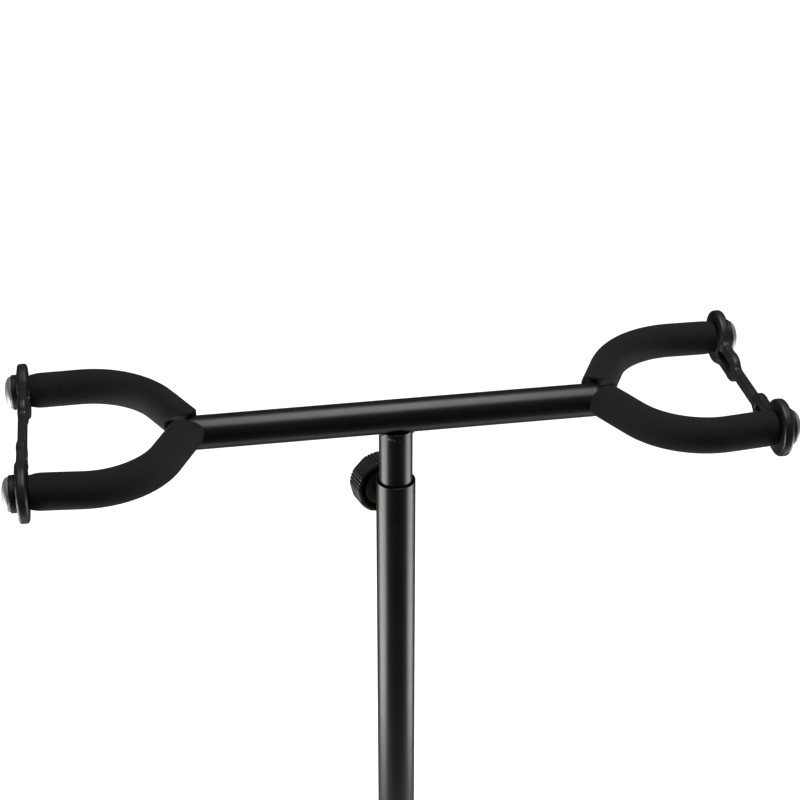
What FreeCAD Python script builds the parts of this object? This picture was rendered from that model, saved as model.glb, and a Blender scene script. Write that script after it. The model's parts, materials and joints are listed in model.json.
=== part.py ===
import FreeCAD, Part
import math
import os
from FreeCAD import Vector

os.makedirs("parts", exist_ok=True)

# Free-standing rack for two guitars. Millimetres, +Z up, origin on the post axis at floor level.
# +X runs along the cross bar to the right-hand yoke, -Y is the front.

# Post and cross bar
bar_height = 730.0          # cross bar axis above the floor, post fully lowered
outer_radius = 13.1
outer_wall = 1.2
inner_radius = 11.1         # inner tube, 22.2 mm stock like the cross bar
inner_wall = 1.2
rim_drop = 47.8             # outer tube rim below the bar axis
post_foot = 26.0            # lower end of the outer tube above the floor
inner_length = 420.0        # inner tube's lower end below the bar axis
lip_drop = 8.5              # its straight-cut top below the bar axis, coped only where the bar hangs lower
bar_half = 141.0            # half length of the cross bar, over its domed ends
bar_dome = 9.0              # length of each domed end

# Yokes: V shaped rods whose prongs bend round to run along X
rod_radius = 5.0
yoke_rise = 3.65            # rod centreline above the bar axis at the bar end
prong_rise = 5.07           # prong centreline above the bar axis at the strap
throat_x = 132.6            # where the two legs of the V would cross
throat_bend = 14.0
elbow_x = 166.6
elbow_y = 67.6
elbow_bend = 54.7
prong_y = 63.7              # prong centreline at the strap
foam_radius = 11.6
foam_bore = 5.3
foam_start = 13.0           # from the throat along the leg to the cut end of the sleeve
stub_length = 8.0           # last stretch of each prong, parallel to X, before the strap
stub_bend = 60.0

# Straps and prong ends, measured along X
strap_in = 234.0
strap_thick = 6.6
ring_radius = 18.45
strap_round = 2.2
web_drop = 0.3              # centre of the strap's middle strip below the bar axis
web_half = 3.5
web_thin = 0.4              # strip and lugs step in from the ring's faces by this much
lug_half = 9.2
eye_radius = 9.6            # rounded end of each lug
eye_y = 28.0
slot_half = 3.0
ring_bore = 5.3
collar_radius = 11.6
collar_thick = 4.3
dome_radius = 10.8
dome_height = 4.6
dome_gap = 0.2              # dome skin clear of the rod end

# Clamp knobs
knob_radius = 20.0
knob_thick = 15.0
knob_flats = 6
knob_flat_angle = 46.5      # first flat, round the screw from level
knob_flat_depth = 0.7
knob_groove = (13.8, 17.4)  # ring groove in the inner face
knob_groove_depth = 9.0
knob_face = 17.2            # knob's inner face from the post axis
knob_angle = 105.5          # direction of the height knob round the post
knob_drop = 63.5            # height knob axis below the bar axis
screw_radius = 4.0
screw_clear = 0.05
screw_hold = 12.0           # how far the screw is moulded into the knob
nut_radius = 7.0
pad_thick = 1.2
pad_gap = 0.4               # pad's inner face to the tube it presses, clamp just eased
fit_gap = 0.05              # radial running clearance

# Body cradle
cradle_z = 215.0
cradle_hub_radius = 18.0
cradle_hub_half = 22.0
arm_radius = 8.0
arm_end = 78.0              # X of the cradle rod's straight back
cradle_boss_end = 24.0      # front face of the clamp boss from the post axis
cradle_nut_radius = 6.0
cradle_nut_length = 7.0
cradle_knob_face = 25.0
cradle_y = 112.0
cradle_corner = 42.0
cradle_tip_x = 246.0
cradle_tip_rise = 40.0
cradle_tip_bend = 24.0
cradle_foam_radius = 11.0
cradle_foam_from = 124.0
cradle_foam_to = 226.0
tip_cap_radius = 8.0
tip_cap_length = 22.0

# Tripod
leg_angles = {"rear": 90.0, "front_left": 210.0, "front_right": 330.0}
pivot_radius = 38.0
pivot_z = 110.0
foot_reach = 290.0          # foot centre from the post axis
leg_radius = 8.0
leg_wall = 1.2
foot_radius = 11.0
foot_length = 34.0
pad_radius = 14.0
hub_radius = 27.0
hub_low = 84.0
hub_high = 140.0
ear_width = 28.0
ear_reach = 47.0
ear_low = 98.0
ear_high = 128.0
tongue_width = 11.6
slot_width = 12.2
hub_screw_z = 131.0
pin_radius = 3.0
pin_head = 5.5

up = Vector(0, 0, 1)
front = Vector(0, -1, 0)


def save(node, shape):
    shape.exportStep("parts/" + node + ".step")


def cylinder(start, along, radius, length):
    return Part.makeCylinder(radius, length, start, along)


def tube(start, along, radius, bore, length):
    return cylinder(start, along, radius, length).cut(cylinder(start, along, bore, length))


def joined(solids):
    return solids[0].multiFuse(solids[1:]).removeSplitter()


def spun(profile, start, along):
    """Solid of revolution: profile is a closed list of (distance along, radius)."""
    points = [Vector(r, 0, s) for s, r in profile]
    face = Part.Face(Part.makePolygon(points + [points[0]]))
    solid = face.revolve(Vector(0, 0, 0), up, 360)
    turn = FreeCAD.Rotation(up, along)
    solid.Placement = FreeCAD.Placement(start, turn)
    return Part.Solid(Part.Shell(solid.Faces)) if solid.ShapeType != "Solid" else solid


def rounded_path(points, bends):
    """Wire of straight runs joined by tangent arcs; bends gives the radius at each inner point."""
    edges = []
    start = points[0]
    for corner, after, bend in zip(points[1:-1], points[2:], bends):
        inward = (start - corner).normalize()
        onward = (after - corner).normalize()
        half = inward.getAngle(onward) / 2.0
        reach = bend / math.tan(half)
        first = corner + inward * reach
        last = corner + onward * reach
        middle_way = (inward + onward).normalize()
        middle = corner + middle_way * (bend / math.sin(half) - bend)
        edges.append(Part.LineSegment(start, first).toShape())
        edges.append(Part.Arc(first, middle, last).toShape())
        start = last
    edges.append(Part.LineSegment(start, points[-1]).toShape())
    return Part.Wire(edges)


def swept(path, radius):
    """Round bar of the given radius along a wire."""
    edge = path.Edges[0]
    start = edge.valueAt(edge.FirstParameter)
    along = edge.tangentAt(edge.FirstParameter)
    ring = Part.Wire(Part.makeCircle(radius, start, along))
    return Part.Solid(Part.Shell(path.makePipeShell([ring], True, False).Faces))


def mirrored_x(shape):
    return shape.mirror(Vector(0, 0, 0), Vector(1, 0, 0))


def mirrored_y(shape):
    return shape.mirror(Vector(0, 0, 0), Vector(0, 1, 0))


def around(shape, angle):
    turned = shape.copy()
    turned.rotate(Vector(0, 0, 0), up, angle)
    return turned


# ---- post and cross bar ----

def make_outer_tube():
    height = bar_height - rim_drop - post_foot
    body = tube(Vector(0, 0, post_foot), up, outer_radius, outer_radius - outer_wall, height)
    height_hole = cylinder(knob_point(0), knob_way(), screw_radius + 0.4, outer_radius + 5)
    return body.cut(height_hole).cut(make_hub_screws())


def make_inner_tube():
    start = Vector(0, 0, bar_height - inner_length)
    body = tube(start, up, inner_radius, inner_radius - inner_wall, inner_length - lip_drop)
    bar_space = cylinder(Vector(-40, 0, bar_height), Vector(1, 0, 0), inner_radius, 80)
    return body.cut(bar_space)


def make_glide():
    """Plastic bush pressed into the lower end of the inner tube and running in the outer tube."""
    low = bar_height - inner_length
    bore = outer_radius - outer_wall
    flange = cylinder(Vector(0, 0, low - 14), up, bore - fit_gap, 14 - 0.3)
    spigot = cylinder(Vector(0, 0, low - 1), up, inner_radius - inner_wall - fit_gap, 25)
    hole = cylinder(Vector(0, 0, low - 20), up, 5.0, 60)
    return joined([flange, spigot]).cut(hole)


def make_cross_bar():
    straight = bar_half - bar_dome
    edge = inner_radius
    wall = inner_wall

    def profile(radius, length):
        steps = [math.radians(15 * i) for i in range(7)]
        return [(straight + length * math.sin(a), radius * math.cos(a)) for a in steps]

    outside = [(0, 0), (0, edge)] + profile(edge, bar_dome)
    inside = [(0, 0), (0, edge - wall)] + profile(edge - wall, bar_dome - wall)
    half = spun(outside, Vector(0, 0, bar_height), Vector(1, 0, 0))
    hollow = spun(inside, Vector(0, 0, bar_height), Vector(1, 0, 0))
    shell = half.cut(hollow)
    bar = joined([shell, mirrored_x(shell)])
    passage = swept(yoke_path(), rod_radius)
    return bar.cut(passage).cut(mirrored_x(passage))


def make_bar_weld():
    """Bead on each side of the inner tube where the bar stands on it."""
    bead = 1.1
    bead_half = 6.5
    ring = tube(Vector(0, 0, bar_height - 16), up, inner_radius + bead, inner_radius, 16)
    bar = cylinder(Vector(-40, 0, bar_height), Vector(1, 0, 0), inner_radius, 80)
    fat_bar = cylinder(Vector(-40, 0, bar_height), Vector(1, 0, 0), inner_radius + bead, 80)
    sides = Part.makeBox(80, 2 * bead_half, 40, Vector(-40, -bead_half, bar_height - 30))
    bead_body = ring.common(fat_bar).common(sides).cut(bar)
    return Part.makeCompound(bead_body.Solids)


# ---- yokes ----

def yoke_path():
    """Right-hand V rod from the far prong end, round the throat, to the near prong end."""
    throat = Vector(throat_x, 0, bar_height + yoke_rise)
    end, stub, elbow = prong_points(strap_in + strap_thick + collar_thick + 3.0)
    points = [end, stub, elbow, throat]
    points += [Vector(p.x, -p.y, p.z) for p in (elbow, stub, end)]
    bends = [stub_bend, elbow_bend, throat_bend, elbow_bend, stub_bend]
    return rounded_path(points, bends)


def prong_points(end_x):
    """Far right-hand prong: its end, the start of its straight stub, and its elbow."""
    high = bar_height + prong_rise
    end = Vector(end_x, prong_y, high)
    stub = Vector(strap_in - stub_length, prong_y, high)
    elbow = Vector(elbow_x, elbow_y, bar_height + yoke_rise)
    return end, stub, elbow


def foam_path(end_x):
    """Far right-hand sleeve's centreline, from its cut end at the throat to the strap."""
    end, stub, elbow = prong_points(end_x)
    throat = Vector(throat_x, 0, bar_height + yoke_rise)
    start = throat + (elbow - throat).normalize() * foam_start
    return rounded_path([start, elbow, stub, end], [elbow_bend, stub_bend])


def make_foam_sleeve():
    path = foam_path(strap_in - 0.3)
    return swept(path, foam_radius).cut(swept(path, foam_bore))


def make_yoke_weld():
    """Bead where the rod enters each side of the bar's domed end."""
    bead = 1.6
    rod = swept(yoke_path(), rod_radius)
    fat_rod = swept(yoke_path(), rod_radius + bead)
    near_bar = cylinder(Vector(0, 0, bar_height), Vector(1, 0, 0), inner_radius + bead, bar_half)
    bar = cylinder(Vector(0, 0, bar_height), Vector(1, 0, 0), inner_radius, bar_half + 10)
    bead_body = fat_rod.common(near_bar).cut(bar).cut(rod)
    sleeve = swept(foam_path(strap_in), foam_radius + 0.3)
    bead_body = bead_body.cut(sleeve).cut(mirrored_y(sleeve))
    return Part.makeCompound(bead_body.Solids)


# ---- straps and prong ends ----

def strap_disc(radius, y, z, inset):
    """Disc across the strap's thickness with rounded rims."""
    start = Vector(strap_in + inset, y, z)
    body = cylinder(start, Vector(1, 0, 0), radius, strap_thick - 2 * inset)
    rims = [e for e in body.Edges if isinstance(e.Curve, Part.Circle)]
    return body.makeFillet(strap_round, rims)


def strap_block(y_low, y_high, half, z):
    thick = strap_thick - 2 * web_thin
    return Part.makeBox(thick, y_high - y_low, 2 * half, Vector(strap_in + web_thin, y_low, z - half))


def strap_cutters(side):
    """Prong hole and the long slot of one end; side is 1 for the far end and -1 for the near end."""
    start = strap_in - 1
    depth = strap_thick + 2
    web = bar_height - web_drop
    across = Vector(1, 0, 0)
    slot_from = eye_y + 1.0
    slot_to = prong_y - ring_radius + 3.0
    low, high = sorted((side * slot_from, side * slot_to))
    hole = cylinder(Vector(start, side * prong_y, bar_height + prong_rise), across, ring_bore, depth)
    slot = Part.makeBox(depth, high - low, 2 * slot_half, Vector(start, low, web - slot_half))
    ends = [cylinder(Vector(start, y, web), across, slot_half, depth) for y in (low, high)]
    return [hole, slot] + ends


def make_strap():
    """Moulded strap: a ring, a slotted lug with a rounded eye, and a strip joining both halves."""
    centre = bar_height + prong_rise
    web = bar_height - web_drop
    pieces = [strap_block(-eye_y, eye_y, web_half, web)]
    for side in (1, -1):
        low, high = sorted((side * eye_y, side * prong_y))
        pieces.append(strap_disc(ring_radius, side * prong_y, centre, 0))
        pieces.append(strap_disc(eye_radius, side * eye_y, web, web_thin))
        pieces.append(strap_block(low, high, lug_half, web))
    body = joined(pieces)
    for cutter in strap_cutters(1) + strap_cutters(-1):
        body = body.cut(cutter)
    return body


def make_left_strap():
    """The same moulding on the left-hand prongs, put on the other way up."""
    strap = make_strap()
    strap.rotate(Vector(0, 0, bar_height + prong_rise), Vector(0, 1, 0), 180)
    return strap


def make_collars():
    start = strap_in + strap_thick + 0.1
    rings = []
    for side in (1, -1):
        place = Vector(start, side * prong_y, bar_height + prong_rise)
        ring = tube(place, Vector(1, 0, 0), collar_radius, rod_radius + 0.2, collar_thick)
        rings += [ring, mirrored_x(ring)]
    return Part.makeCompound(rings)


def dome_profile(radius, height, base):
    """Elliptical dome closed on its axis, seen as (distance along, radius)."""
    steps = [math.radians(11.25 * i) for i in range(9)]
    crown = [(base + height * math.sin(a), radius * math.cos(a)) for a in steps]
    return [(base, 0)] + crown


def make_domes():
    base = strap_in + strap_thick + collar_thick + 0.2
    caps = []
    for side in (1, -1):
        place = Vector(base, side * prong_y, bar_height + prong_rise)
        skin = spun(dome_profile(dome_radius, dome_height, 0), place, Vector(1, 0, 0))
        socket = cylinder(place, Vector(1, 0, 0), rod_radius + dome_gap, 3.2)
        cap = skin.cut(socket)
        caps += [cap, mirrored_x(cap)]
    return Part.makeCompound(caps)


# ---- clamp knobs ----

def knob_way():
    angle = math.radians(knob_angle)
    return Vector(math.cos(angle), math.sin(angle), 0)


def knob_point(distance):
    return Vector(0, 0, bar_height - knob_drop) + knob_way() * distance


def flatted_knob(start, along):
    """Round hand knob with flats on its rim and a ring groove in its inner face."""
    body = cylinder(start, along, knob_radius, knob_thick)
    rims = [e for e in body.Edges if isinstance(e.Curve, Part.Circle)]
    body = body.makeFillet(1.6, rims)
    left = up.cross(along)
    for i in range(knob_flats):
        angle = math.radians(knob_flat_angle + 360 * i / knob_flats)
        outward = left * math.cos(angle) + up * math.sin(angle)
        slab = Part.makeBox(40, 40, 10, Vector(-20, -20, knob_radius - knob_flat_depth))
        slab.Placement = FreeCAD.Placement(start, FreeCAD.Rotation(up, outward))
        body = body.cut(slab)
    inner, outer = knob_groove
    groove = tube(start, along, outer, inner, knob_groove_depth)
    bore = cylinder(start, along, screw_radius, screw_hold)
    return body.cut(groove).cut(bore)


def clamp_parts(centre, along, face, tube_radius):
    """Knob, screw and pad of a clamp pressing on a tube; face is the knob's distance from its axis."""
    pad_at = tube_radius + pad_gap
    screw_at = pad_at + pad_thick + 0.1
    knob = flatted_knob(centre + along * face, along)
    screw = cylinder(centre + along * screw_at, along, screw_radius, face + screw_hold - screw_at)
    pad = cylinder(centre + along * pad_at, along, screw_radius - 0.3, pad_thick)
    return knob, screw, pad


def make_height_nut():
    """Round nut welded to the outer tube's back, with the screw running in it."""
    centre = knob_point(0)
    nut = cylinder(centre, knob_way(), nut_radius, knob_face - 0.6)
    nut = nut.cut(cylinder(centre, knob_way(), screw_radius + screw_clear, knob_face))
    return nut.cut(cylinder(Vector(0, 0, centre.z - 30), up, outer_radius, 60))


# ---- body cradle ----

def make_cradle_hub():
    low = Vector(0, 0, cradle_z - cradle_hub_half)
    body = cylinder(low, up, cradle_hub_radius, 2 * cradle_hub_half)
    rims = [e for e in body.Edges if isinstance(e.Curve, Part.Circle)]
    body = body.makeFillet(2.0, rims)
    socket = cylinder(Vector(-30, 0, cradle_z), Vector(1, 0, 0), arm_radius + 4, 60)
    boss = cylinder(Vector(0, 0, cradle_z), front, cradle_nut_radius + 4, cradle_boss_end)
    body = joined([body, socket, boss])
    body = body.cut(cylinder(Vector(0, 0, 0), up, outer_radius + fit_gap, bar_height))
    arm_bore = cylinder(Vector(-60, 0, cradle_z), Vector(1, 0, 0), arm_radius, 120)
    core = cylinder(Vector(0, 0, 0), up, cradle_hub_radius - 2.5, bar_height)
    screw_bore = cylinder(Vector(0, 0, cradle_z), front, screw_radius + screw_clear, 60)
    return body.cut(arm_bore.cut(core)).cut(screw_bore).cut(cradle_nut_space(cradle_nut_radius))


def cradle_nut_space(radius):
    start = Vector(0, -cradle_boss_end + cradle_nut_length, cradle_z)
    return cylinder(start, front, radius, cradle_nut_length)


def make_cradle_nut():
    """Brass insert moulded into the boss."""
    return cradle_nut_space(cradle_nut_radius).cut(cradle_nut_space(screw_radius + screw_clear))


def make_cradle_welds():
    """Bead round each arm's end where it meets the cradle rod."""
    bead = 1.8
    start = Vector(arm_end - 10, 0, cradle_z)
    ring = tube(start, Vector(1, 0, 0), arm_radius + bead, arm_radius, 10)
    rod = cylinder(Vector(arm_end, -30, cradle_z), Vector(0, 1, 0), rod_radius, 60)
    fat_rod = cylinder(Vector(arm_end, -30, cradle_z), Vector(0, 1, 0), rod_radius + bead, 60)
    welds = ring.common(fat_rod).cut(rod).Solids
    return Part.makeCompound(welds + [mirrored_x(w) for w in welds])


def cradle_path():
    """Right-hand cradle rod from the far upturned tip, along the back, to the near tip."""
    tip = cradle_tip_x + cradle_tip_rise * 0.35
    points = [
        Vector(tip, cradle_y, cradle_z + cradle_tip_rise),
        Vector(cradle_tip_x, cradle_y, cradle_z),
        Vector(arm_end, cradle_y, cradle_z),
        Vector(arm_end, -cradle_y, cradle_z),
        Vector(cradle_tip_x, -cradle_y, cradle_z),
        Vector(tip, -cradle_y, cradle_z + cradle_tip_rise),
    ]
    return rounded_path(points, [cradle_tip_bend, cradle_corner, cradle_corner, cradle_tip_bend])


def make_cradle_arm():
    start = cradle_hub_radius - 2.5
    arm = tube(Vector(start, 0, cradle_z), Vector(1, 0, 0), arm_radius, arm_radius - 1.5, arm_end - start)
    hub_core = cylinder(Vector(0, 0, cradle_z - 20), up, cradle_hub_radius - 2.5, 40)
    back = cylinder(Vector(arm_end, -30, cradle_z), Vector(0, 1, 0), rod_radius, 60)
    return arm.cut(hub_core).cut(back)


def make_cradle_foam():
    start = Vector(cradle_foam_from, cradle_y, cradle_z)
    length = cradle_foam_to - cradle_foam_from
    return tube(start, Vector(1, 0, 0), cradle_foam_radius, foam_bore, length)


def make_tip_caps():
    """Rubber caps pushed over the upturned tips, with the rod end inside."""
    far_tip = cradle_path().Edges[0]
    top = far_tip.valueAt(far_tip.FirstParameter)
    down = far_tip.tangentAt(far_tip.FirstParameter)
    start = top - down * 3.0
    body = cylinder(start, down, tip_cap_radius, tip_cap_length)
    crown = [e for e in body.Edges if isinstance(e.Curve, Part.Circle)]
    body = body.makeFillet(2.5, crown)
    cap = body.cut(cylinder(top, down, rod_radius, tip_cap_length))
    pair = [cap, mirrored_y(cap)]
    return Part.makeCompound(pair + [mirrored_x(c) for c in pair])


# ---- tripod, each leg modelled along +X and then turned to its place ----

def leg_way():
    drop = pivot_z - foot_radius
    return Vector(foot_reach - pivot_radius, 0, -drop).normalize()


def pivot():
    return Vector(pivot_radius, 0, pivot_z)


def make_leg_hub():
    body = cylinder(Vector(0, 0, hub_low), up, hub_radius, hub_high - hub_low)
    rims = [e for e in body.Edges if isinstance(e.Curve, Part.Circle)]
    solids = [body.makeFillet(2.5, rims)]
    for angle in leg_angles.values():
        ear = Part.makeBox(ear_reach, ear_width, ear_high - ear_low, Vector(0, -ear_width / 2, ear_low))
        outer = [e for e in ear.Edges if e.BoundBox.XMin > ear_reach - 0.01 and e.BoundBox.YLength > 1]
        solids.append(around(ear.makeFillet(9.0, outer), angle))
    hub = joined(solids)
    for angle in leg_angles.values():
        hub = hub.cut(around(leg_slot(), angle))
        hub = hub.cut(around(cylinder(pivot() - Vector(0, 40, 0), Vector(0, 1, 0), pin_radius, 80), angle))
    return hub.cut(cylinder(Vector(0, 0, 0), up, outer_radius, bar_height)).cut(make_hub_screws())


def leg_slot():
    """Slot between a pair of ears: straight back wall, open below, roof parallel to the opened leg."""
    way = leg_way()
    above = Vector(-way.z, 0, way.x) * (leg_radius + 0.05)
    back = pivot_radius - leg_radius - 1.6
    roof = pivot() + above
    roof_back = roof + way * ((back - roof.x) / way.x)
    roof_front = roof + way * 60
    outline = [roof_back, roof_front, Vector(roof_front.x, 0, 0), Vector(back, 0, 0)]
    shift = Vector(0, -slot_width / 2, 0)
    face = Part.Face(Part.makePolygon([p + shift for p in outline + [outline[0]]]))
    return face.extrude(Vector(0, slot_width, 0))


def make_leg_tongue():
    """Flat eye on the pivot pin with a round spigot plugged into the leg tube."""
    way = leg_way()
    across = Vector(0, 1, 0)
    half = tongue_width / 2
    eye = cylinder(pivot() - across * half, across, leg_radius - 0.1, tongue_width)
    low = Vector(0, 0, 0) - way.cross(across)
    slab = Part.makeBox(20, tongue_width, 2 * leg_radius - 0.2)
    turn = FreeCAD.Rotation(way, across, way.cross(across), "XZY")
    slab.Placement = FreeCAD.Placement(pivot() - across * half + low * (leg_radius - 0.1), turn)
    spigot = cylinder(pivot() + way * 19, way, leg_radius - leg_wall, 30)
    body = joined([eye, slab, spigot])
    return body.cut(cylinder(pivot() - across * 20, across, pin_radius + fit_gap, 40))


def leg_length():
    return Vector(foot_reach - pivot_radius, 0, foot_radius - pivot_z).Length


def make_leg_tube():
    return tube(pivot() + leg_way() * 20, leg_way(), leg_radius, leg_radius - leg_wall, leg_length() - 20)


def make_foot():
    """Rubber boot over the leg's end with a round flat-bottomed pad under it."""
    way = leg_way()
    end = pivot() + way * leg_length()
    boot = cylinder(end - way * (foot_length - 4), way, foot_radius, foot_length)
    pad = cylinder(Vector(foot_reach - 6, 0, 0), up, pad_radius, 9)
    body = joined([boot, pad])
    body = body.cut(Part.makeBox(200, 200, 40, Vector(foot_reach - 100, -100, -40)))
    return body.cut(cylinder(end - way * (foot_length + 4), way, leg_radius, foot_length + 4))


def make_leg_pins():
    pins = []
    for angle in leg_angles.values():
        half = ear_width / 2
        shank = cylinder(pivot() - Vector(0, half, 0), Vector(0, 1, 0), pin_radius, 2 * half)
        head = cylinder(pivot() - Vector(0, half + 2.4, 0), Vector(0, 1, 0), pin_head, 2.4)
        nut = cylinder(pivot() + Vector(0, half, 0), Vector(0, 1, 0), pin_head, 2.4)
        pins.append(around(joined([shank, head, nut]), angle))
    return Part.makeCompound(pins)


def make_hub_screws():
    """Two pan-head screws that hold the hub on the outer tube."""
    screws = []
    for angle in (30.0, 150.0):
        way = Vector(math.cos(math.radians(angle)), math.sin(math.radians(angle)), 0)
        centre = Vector(0, 0, hub_screw_z)
        shank = cylinder(centre + way * (outer_radius - outer_wall), way, 2.0, hub_radius - 11)
        head = cylinder(centre + way * (hub_radius - 0.5), way, 4.0, 2.4)
        screws.append(joined([shank, head]))
    return Part.makeCompound(screws)


def make_post_cap():
    """Rubber plug closing the lower end of the outer tube."""
    bore = outer_radius - outer_wall
    head = cylinder(Vector(0, 0, post_foot - 5), up, outer_radius + 1.0, 5)
    plug = cylinder(Vector(0, 0, post_foot - 1), up, bore, 22)
    return joined([head, plug])


# ---- write every node ----

def write_both_sides(name, shape):
    save(name + "_right", shape)
    save(name + "_left", mirrored_x(shape))


def main():
    save("outer_tube", make_outer_tube())
    save("inner_tube", make_inner_tube())
    save("tube_glide", make_glide())
    save("cross_bar", make_cross_bar())
    save("bar_weld", make_bar_weld())
    write_both_sides("yoke_rod", swept(yoke_path(), rod_radius))
    write_both_sides("yoke_weld", make_yoke_weld())
    write_both_sides("far_neck_foam", make_foam_sleeve())
    write_both_sides("near_neck_foam", mirrored_y(make_foam_sleeve()))
    save("neck_strap_right", make_strap())
    save("neck_strap_left", make_left_strap())
    save("prong_collars", make_collars())
    save("dome_caps", make_domes())

    knob, screw, pad = clamp_parts(knob_point(0), knob_way(), knob_face, inner_radius)
    save("height_knob", knob)
    save("height_screw", screw)
    save("height_pad", pad)
    save("height_nut", make_height_nut())

    save("cradle_hub", make_cradle_hub())
    save("cradle_nut", make_cradle_nut())
    write_both_sides("cradle_arm", make_cradle_arm())
    save("cradle_welds", make_cradle_welds())
    write_both_sides("cradle_rod", swept(cradle_path(), rod_radius))
    write_both_sides("far_body_foam", make_cradle_foam())
    write_both_sides("near_body_foam", mirrored_y(make_cradle_foam()))
    save("cradle_tip_caps", make_tip_caps())
    centre = Vector(0, 0, cradle_z)
    knob, screw, pad = clamp_parts(centre, front, cradle_knob_face, outer_radius)
    save("cradle_knob", knob)
    save("cradle_screw", screw)
    save("cradle_pad", pad)

    save("leg_hub", make_leg_hub())
    save("hub_screws", make_hub_screws())
    save("leg_pins", make_leg_pins())
    save("post_cap", make_post_cap())
    for name, angle in leg_angles.items():
        save(name + "_leg", around(make_leg_tube(), angle))
        save(name + "_leg_eye", around(make_leg_tongue(), angle))
        save(name + "_foot", around(make_foot(), angle))


main()
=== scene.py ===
import json
import math
import bmesh
import bpy
import numpy as np
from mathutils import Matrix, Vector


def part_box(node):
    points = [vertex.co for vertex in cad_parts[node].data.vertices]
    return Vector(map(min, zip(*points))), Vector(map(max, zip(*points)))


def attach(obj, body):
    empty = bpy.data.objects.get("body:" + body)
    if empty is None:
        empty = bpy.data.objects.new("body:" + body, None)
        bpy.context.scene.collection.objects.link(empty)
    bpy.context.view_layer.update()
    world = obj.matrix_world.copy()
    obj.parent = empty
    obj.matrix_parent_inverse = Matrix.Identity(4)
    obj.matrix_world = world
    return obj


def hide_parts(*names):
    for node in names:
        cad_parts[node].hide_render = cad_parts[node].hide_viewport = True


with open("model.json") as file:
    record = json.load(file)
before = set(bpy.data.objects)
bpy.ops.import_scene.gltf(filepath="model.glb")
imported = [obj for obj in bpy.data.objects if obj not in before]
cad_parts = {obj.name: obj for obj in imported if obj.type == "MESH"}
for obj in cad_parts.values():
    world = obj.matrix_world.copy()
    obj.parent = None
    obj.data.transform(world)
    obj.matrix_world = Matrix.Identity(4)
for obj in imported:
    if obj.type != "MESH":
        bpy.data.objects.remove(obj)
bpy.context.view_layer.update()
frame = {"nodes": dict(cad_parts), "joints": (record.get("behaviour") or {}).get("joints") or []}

mm = 0.001
xWay, yWay, zWay = np.eye(3)


def low(node):
    return np.array(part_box(node)[0])


def high(node):
    return np.array(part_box(node)[1])


def middle(node):
    return (low(node) + high(node)) / 2


print("frame loaded:", len(frame["nodes"]), "nodes")


def roundedOutline(points, radii, steps=6):
    # every corner becomes an arc about a centre on its bisector, turning from one side's tangent point to the
    # other's
    points = np.asarray(points, float)
    runs = []
    for i, radius in enumerate(radii):
        corner = points[i]
        if radius == 0:
            runs.append(corner[None])
            continue
        back = points[i - 1] - corner
        on = points[(i + 1) % len(points)] - corner
        back = back / np.linalg.norm(back)
        on = on / np.linalg.norm(on)
        half = math.acos(float(np.clip(back @ on, -1, 1))) / 2
        centre = corner + (back + on) / np.linalg.norm(back + on) * radius / math.sin(half)
        first = corner + back * radius / math.tan(half) - centre
        last = corner + on * radius / math.tan(half) - centre
        sweep = math.atan2(first[0] * last[1] - first[1] * last[0], first @ last)
        turn = np.linspace(0, sweep, steps)[:, None]
        square = np.array([-first[1], first[0]])
        runs.append(centre + first * np.cos(turn) + square * np.sin(turn))
    return np.concatenate(runs)


def gridFaces(rows, columns, closeRows, closeColumns):
    # quad (i, j), (i, j+1), (i+1, j+1), (i+1, j) for every cell, with the last row or column joined to the
    # first where it closes
    i = np.arange(rows if closeRows else rows - 1)[:, None]
    j = np.arange(columns if closeColumns else columns - 1)[None, :]
    nextI = (i + 1) % rows
    nextJ = (j + 1) % columns
    corners = [i * columns + j, i * columns + nextJ, nextI * columns + nextJ, nextI * columns + j]
    return np.stack(np.broadcast_arrays(*corners), -1).reshape(-1, 4)


def sheetPart(grid, closeRows, closeColumns):
    return grid.reshape(-1, 3), gridFaces(grid.shape[0], grid.shape[1], closeRows, closeColumns)


def crossWays(way):
    # two unit vectors square to way and to each other
    way = np.asarray(way, float) / np.linalg.norm(way)
    helper = zWay if abs(way[2]) < 0.9 else xWay
    side = np.cross(helper, way)
    side = side / np.linalg.norm(side)
    return way, side, np.cross(way, side)


def turned(outline, centre, way, around=96, rim=None, closed=True):
    # point = centre + way * s + (radius + rim(angle, radius)) * (side cos angle + rise sin angle)
    way, side, rise = crossWays(way)
    angle = np.linspace(0, 2 * math.pi, around, endpoint=False)[None, :]
    s = outline[:, 0][:, None]
    radius = outline[:, 1][:, None] + 0 * angle
    if rim:
        radius = radius + rim(angle, radius)
    spoke = side * np.cos(angle)[..., None] + rise * np.sin(angle)[..., None]
    grid = np.asarray(centre) + way * s[..., None] + spoke * radius[..., None]
    return sheetPart(grid, closed, True)


def routeLine(points, bends, step=1.2 * mm):
    # straight runs joined by tangent arcs, sampled every step along both
    points = [np.asarray(p, float) for p in points]
    line = [points[0][None]]
    start = points[0]
    for corner, after, bend in zip(points[1:-1], points[2:], bends):
        back = (start - corner) / np.linalg.norm(start - corner)
        on = (after - corner) / np.linalg.norm(after - corner)
        half = math.acos(float(back @ on)) / 2
        centre = corner + (back + on) / np.linalg.norm(back + on) * bend / math.sin(half)
        first = corner + back * bend / math.tan(half)
        last = corner + on * bend / math.tan(half)
        run = np.linspace(0, 1, max(2, int(np.linalg.norm(first - start) / step)))[1:, None]
        line.append(start + (first - start) * run)
        sweep = math.pi - 2 * half
        turn = np.linspace(0, sweep, max(4, int(sweep * bend / step)))[1:, None]
        spoke = (first - centre) / bend
        line.append(centre + bend * (spoke * np.cos(turn) - back * np.sin(turn)))
        start = last
    run = np.linspace(0, 1, max(2, int(np.linalg.norm(points[-1] - start) / step)))[1:, None]
    line.append(start + (points[-1] - start) * run)
    return np.concatenate(line)


def lineLength(line):
    return float(np.linalg.norm(np.diff(line, axis=0), axis=1).sum())


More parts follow.
